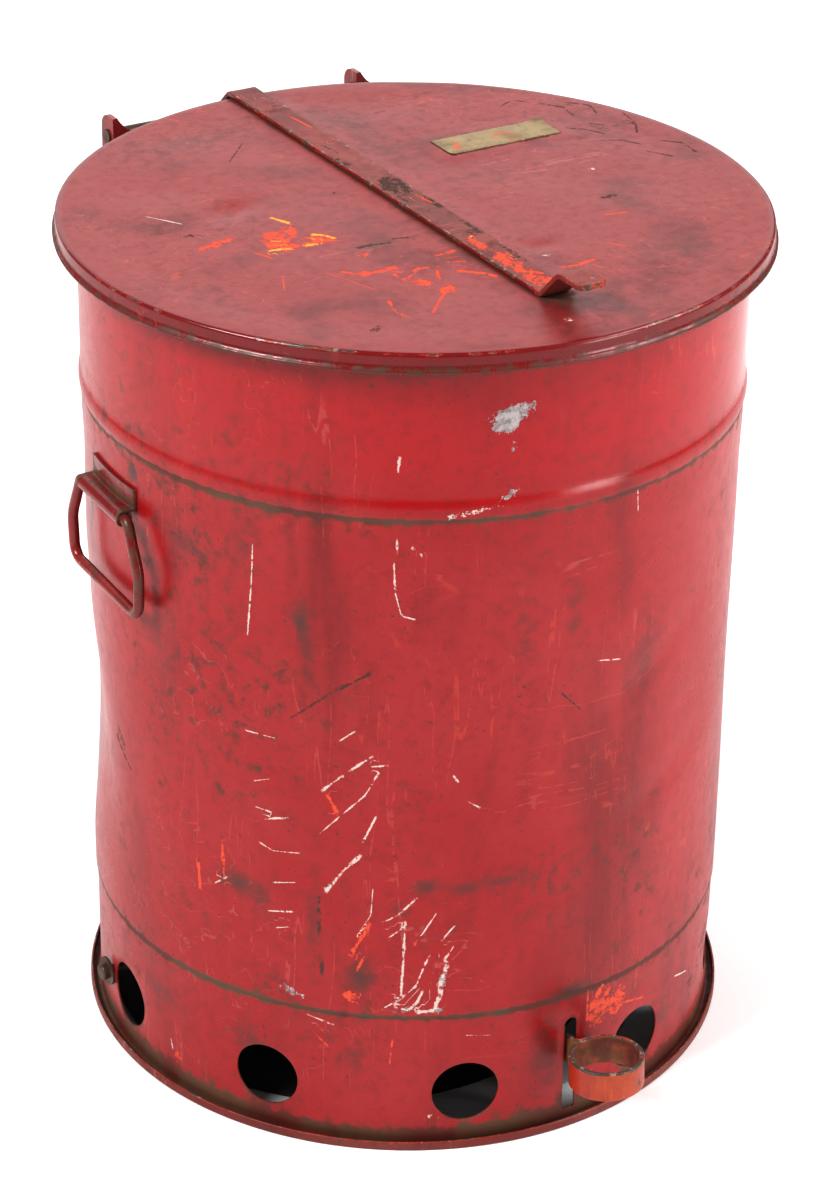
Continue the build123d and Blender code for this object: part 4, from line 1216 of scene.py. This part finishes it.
# ================================================================ brass plate
def brass_plate():
    """A thin blank plate, slightly buckled, with one corner lifted."""
    across, deep = 48, 18
    half_x, half_y = PLATE_SIZE[0] / 2, PLATE_SIZE[1] / 2
    corner = 1.5
    grid_x = np.concatenate(([-1, -0.99, -0.97, -0.94], np.linspace(-0.9, 0.9, across - 8),
                             [0.94, 0.97, 0.99, 1]))
    grid_y = np.concatenate(([-1, -0.97, -0.92], np.linspace(-0.86, 0.86, deep - 6),
                             [0.92, 0.97, 1]))
    points, smear, edge = [], [], []
    for level in (1, 0):
        for gx in grid_x:
            for gy in grid_y:
                x, y = gx * half_x, gy * half_y
                cut_x, cut_y = abs(x) - half_x + corner, abs(y) - half_y + corner
                if cut_x > 0 and cut_y > 0:
                    pull = max(hypot(cut_x, cut_y) / corner, 1.0)
                    x = np.sign(x) * (half_x - corner + cut_x / pull)
                    y = np.sign(y) * (half_y - corner + cut_y / pull)
                lift = 1.7 * max(0, (x + 0.8 * y - 36) / 12) ** 2
                lift += 0.25 * max(0, (-x - y - 38) / 10) ** 2
                buckle = 0.10 * (1 + sin(x / 6.0 + y / 9.0))
                border = max(abs(gx) - 0.985, 0) + max(abs(gy) - 0.96, 0)
                top = PLATE_SIZE[2] * 0.72 - 6.0 * border
                z = LID_TOP + 0.04 + (top if level else 0) + buckle * 0.8 + lift
                points.append((PLATE_AT[0] + x, PLATE_AT[1] + y, z))
                left = bell(x, -33, 6.0)
                centre = np.exp(-((x - 4) / 9.0) ** 2 - ((y + 3) / 8.0) ** 2)
                smear.append(min(1.0, left + 0.9 * centre))
                edge.append(np.clip((abs(gy) - 0.84) * 8, 0, 1))
    rows, columns = len(grid_x), len(grid_y)
    count = rows * columns
    faces = tube_faces(rows, columns, False, False)
    faces += [tuple(count + k for k in reversed(face)) for face in faces]
    border = [r * columns for r in range(rows)]
    border += [(rows - 1) * columns + c for c in range(1, columns)]
    border += [r * columns + columns - 1 for r in range(rows - 2, -1, -1)]
    border += list(range(columns - 2, 0, -1))
    for here, there in zip(border, border[1:] + border[:1]):
        faces.append((here, there, count + there, count + here))
    fields = {"smear": np.array(smear), "edge": np.array(edge)}
    piece = make_piece("brass_plate", points, faces, [plate_brass], None, fields, sharp=50.0)
    put(piece, "lid", "brass", "name_plate")


# ================================================================ side handles
def turned(points, degrees_round):
    """Points turned about the can's axis."""
    angle = radians(degrees_round)
    points = np.asarray(points, dtype=float)
    x = points[:, 0] * cos(angle) - points[:, 1] * sin(angle)
    y = points[:, 0] * sin(angle) + points[:, 1] * cos(angle)
    return np.stack((x, y, points[:, 2]), axis=-1)


def swept_tube(path, radius, around=20):
    """Rings of a round bar along a path that lies in one plane x = constant."""
    ahead = directions(path)
    sideways = np.array((1.0, 0.0, 0.0))
    points = []
    for index, (place, forward) in enumerate(zip(path, ahead)):
        over = np.cross(forward, sideways)
        thick = radius * (1 - 0.025 * (1 + sin(index * 0.9)) / 2)
        for k in range(around):
            angle = 2 * pi * k / around
            points.append(place + thick * (cos(angle) * sideways + sin(angle) * over))
    return points, bar_faces(len(path), around, flip=True)


def bail_wire(side, turn):
    """A bent wire handle that hangs from its barrel."""
    shoulder, widest, corner = 31.5, 44.5, 43.0
    middle_drop, drop = 28.0, 54.6
    corners = [(-BAIL_X, 0.4, BAIL_Z), (-BAIL_X, shoulder, BAIL_Z),
               (-BAIL_X, widest, BAIL_Z - middle_drop), (-BAIL_X, corner, BAIL_Z - drop),
               (-BAIL_X, -corner, BAIL_Z - drop), (-BAIL_X, -widest, BAIL_Z - middle_drop),
               (-BAIL_X, -shoulder, BAIL_Z), (-BAIL_X, -0.4, BAIL_Z)]
    shoulder_round, side_round, corner_round = 5.5, 22, 9
    path = rounded(corners, (shoulder_round, side_round, corner_round,
                             corner_round, side_round, shoulder_round))
    points, faces = swept_tube(path, BAIL_R)
    points = np.array(points)
    drop_part = np.clip((BAIL_Z - points[:, 2]) / drop, 0, 1)
    bent = drop_part * (1 - drop_part) * 4
    points[:, 0] += 0.35 * np.sin(points[:, 1] / 13.0) * bent
    in_barrel = points[:, 2] > BAIL_Z - 5.4
    grime = 0.24 + 0.24 * np.sin(points[:, 1] / 9.0) + 0.25 * in_barrel
    crown = np.clip((-points[:, 0] - BAIL_X) / BAIL_R, 0, 1) ** 2
    fields = {"grime": np.clip(grime, 0, 1), "edge": 0.62 * crown}
    piece = make_piece(f"bail_wire_{side}", turned(points, turn), faces, [handle_paint],
                       None, fields, sharp=60.0)
    put(piece, f"{side}_bail", "grimy_red_paint", f"bail_{side}")


def clip_line():
    """The clip's middle line in (radius, z): down the wall, out, and round the wire."""
    mid_r = BAIL_R + RUNNING + CLIP_SHEET / 2
    wall_r = BODY_R + CLIP_SHEET / 2
    top = BAIL_Z + mid_r
    bend = 1.6
    line = [(wall_r, z) for z in np.linspace(CLIP_TOP, top + bend, 6)]
    line += arc_points((wall_r + bend, top + bend), bend, 180, 270, 6)[1:]
    line += [(r, top) for r in np.linspace(wall_r + bend + 0.8, BAIL_X, 4)]
    line += arc_points((BAIL_X, BAIL_Z), mid_r, 90, -228, 40)[1:]
    return np.array(line)


def bail_clip(side, turn):
    """The sheet clip on the wall, rolled at its lower end into a barrel for the wire."""
    line = clip_line()
    ahead = directions(line)
    normal = np.stack((-ahead[:, 1], ahead[:, 0]), axis=-1)
    half = CLIP_SHEET / 2
    loop = np.concatenate((line + normal * half, (line - normal * half)[::-1]))
    wraps = np.clip((BAIL_X - 1.0 - loop[:, 0]) / 3.0, 0, 1)
    wraps = np.where(loop[:, 1] < BAIL_Z + BAIL_R, 0.0, wraps)
    stations = np.array([-1.0, -0.985, -0.95, *np.linspace(-0.88, 0.88, 21), 0.95, 0.985, 1.0])
    points, level, border = [], [], []
    for station in stations:
        t = station * CLIP_HALF
        curve = BODY_R - sqrt(BODY_R ** 2 - t ** 2)
        shrink = 0.25 * max(0.0, (abs(station) - 0.98) / 0.02)
        for (r, z), wrap in zip(loop, wraps):
            trim = shrink if z > BAIL_Z + 8 else 0.0
            points.append((-(r - curve * wrap - trim * 0.3), -t, z - trim))
            level.append(z)
            border.append(abs(station))
    faces = bar_faces(len(stations), len(loop), flip=True)
    level, border = np.array(level), np.array(border)
    fields = {"grime": (0.85 * bell(level - BAIL_Z, 7, 3.0)
                        + 0.60 * (border > 0.94) + 0.45 * (level > CLIP_TOP - 1.4)),
              "edge": 0.75 * (border > 0.96) + 0.5 * bell(level - BAIL_Z, 4, 1.6)}
    piece = make_piece(f"bail_clip_{side}", turned(points, turn), faces, [handle_paint],
                       None, fields, sharp=50.0)
    put(piece, "can", "grimy_red_paint", f"handle_bracket_{side}")


# ================================================================ foot lever
LEVER_SLOPE = radians(3.7)
LEVER_HIGH, LEVER_THICK = 18.5, 3.2
CRANK_REACH, CRANK_TURN = 15.5, 30
CRANK_Y = PIN_Y - CRANK_REACH * cos(radians(CRANK_TURN))
LOOP_X, LOOP_REACH, LOOP_R, LOOP_BEND = 7.0, 255.5, 20.7, 5.0


def lever_line():
    """The lever's middle line from above: straight bar, short bend and the foot loop."""
    past_slot = 10
    tail = (CRANK_Y - PIVOT_Y) / cos(LEVER_SLOPE) + past_slot
    stem_end = -LOOP_REACH + LOOP_R + LOOP_BEND
    line = [(0.0, y) for y in np.linspace(tail, stem_end + 2.0, 70)]
    line += arc_points((LOOP_BEND, stem_end), LOOP_BEND, 180, 270, 7)
    line += arc_points((LOOP_X, -LOOP_REACH), LOOP_R, 90, -242, 76)
    return np.array(line)


def foot_lever():
    """A flat bar on edge, pivoted under the can and curled into a loop for the foot."""
    line = lever_line()
    ahead = directions(line)
    outline = bar_outline(LEVER_THICK / 2, LEVER_HIGH / 2, 0.7, 4, 6)
    points, sides, height, run = [], [], [], []
    for (x, y), (tx, ty) in zip(line, ahead):
        for w, h in outline:
            beaten = 0.10 * sin(y / 7.0 + h / 5.0) + 0.06 * sin(x / 3.0 + h / 2.3)
            offset = w * (1 - 0.06 * (1 + beaten))
            tall = h - 0.12 * (1 + sin(y / 11.0 + x / 6.0)) * np.sign(h)
            px, py = x - ty * offset, y + tx * offset
            points.append((px, PIVOT_Y + py * cos(LEVER_SLOPE) + tall * sin(LEVER_SLOPE),
                           PIVOT_Z - py * sin(LEVER_SLOPE) + tall * cos(LEVER_SLOPE)))
            sides.append(w)
            height.append(h)
            run.append(y)
    faces = bar_faces(len(line), len(outline))
    sides, height, run = np.array(sides), np.array(height), np.array(run)
    arris = np.exp(-((np.abs(height) - LEVER_HIGH / 2 + 0.3) / 0.9) ** 2)
    skirt_at, loop_from = -185, -225
    inside_loop = (sides < 0) & (run < loop_from)
    grime = np.where(run > skirt_at, 0.85, 0.12) + 0.55 * inside_loop
    fields = {"edge": arris * np.where(height > 0, 1.25, 0.5), "grime": grime}
    piece = make_piece("foot_lever", points, faces, [lever_paint], None, fields, sharp=50.0)
    cut_lever_holes(piece)
    put(piece, "pedal", "worn_red_paint", "pedal_lever")


def cut_lever_holes(piece):
    """Drills the pivot hole and cuts the slot for the push rod's foot."""
    tail_z = PIVOT_Z - (CRANK_Y - PIVOT_Y) * sin(LEVER_SLOPE) / cos(LEVER_SLOPE)
    slot_r, slot_reach, cut_half = 2.95, 6.0, 6
    slot_half = slot_reach - slot_r
    pivot_outline = arc_points((PIVOT_Y, PIVOT_Z), PIN_R + RUNNING, 0, 345, 24)
    slot_outline = []
    for centre, start in ((slot_half, -90), (-slot_half, 90)):
        for y, z in arc_points((centre, 0), slot_r, start, start + 180, 10):
            c, s = cos(-LEVER_SLOPE), sin(-LEVER_SLOPE)
            slot_outline.append((CRANK_Y + y * c - z * s, tail_z + y * s + z * c))
    for outline in (pivot_outline, slot_outline):
        count = len(outline)
        points = [(x, y, z) for x in (-cut_half, cut_half) for y, z in outline]
        faces = [tuple(reversed(range(count))), tuple(range(count, 2 * count))]
        faces += [(k, (k + 1) % count, count + (k + 1) % count, count + k) for k in range(count)]
        cutter = make_piece("cutter", points, faces, [])
        modifier = piece.modifiers.new("hole", "BOOLEAN")
        modifier.operation, modifier.solver = "DIFFERENCE", "EXACT"
        modifier.object = cutter
        depsgraph = bpy.context.evaluated_depsgraph_get()
        cut = bpy.data.meshes.new_from_object(piece.evaluated_get(depsgraph))
        piece.modifiers.clear()
        old = piece.data
        piece.data = cut
        bpy.data.meshes.remove(old)
        bpy.data.objects.remove(cutter)


# ================================================================ CAD parts that stay
def finish_cad(name, material, bevel):
    """Gives a CAD node its material and breaks its sharp edges."""
    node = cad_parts[name]
    node.data.materials.clear()
    node.data.materials.append(material)
    if bevel:
        modifier = node.modifiers.new("broken edges", "BEVEL")
        modifier.width, modifier.segments = bevel * MM, 2
        modifier.limit_method, modifier.angle_limit = "ANGLE", radians(50)
        modifier.use_clamp_overlap = True


can_wall()
skirt_sheet()
foot_hoop()
lid_pan()
strap_bar()
brass_plate()
for side, turn in (("left", HANDLE_TURN), ("right", HANDLE_TURN + 180)):
    bail_wire(side, turn)
    bail_clip(side, turn)
foot_lever()

for name in ("hinge_ear_left", "hinge_ear_right", "hinge_bracket"):
    finish_cad(name, handle_paint, 0.4)
finish_cad("lift_crank", strap_paint, 0.4)
for name in ("hinge_rod", "hinge_spacer_left", "hinge_spacer_right", "ear_rivets",
             "bracket_rivets", "push_rod", "pivot_rod", "pivot_washers", "pivot_collars"):
    finish_cad(name, grimy, 0.25)
for name in ("top_rim_wire", "rod_washers", "rod_cotters"):
    finish_cad(name, bright, 0)
finish_cad("container_floor", galvanised, 0)
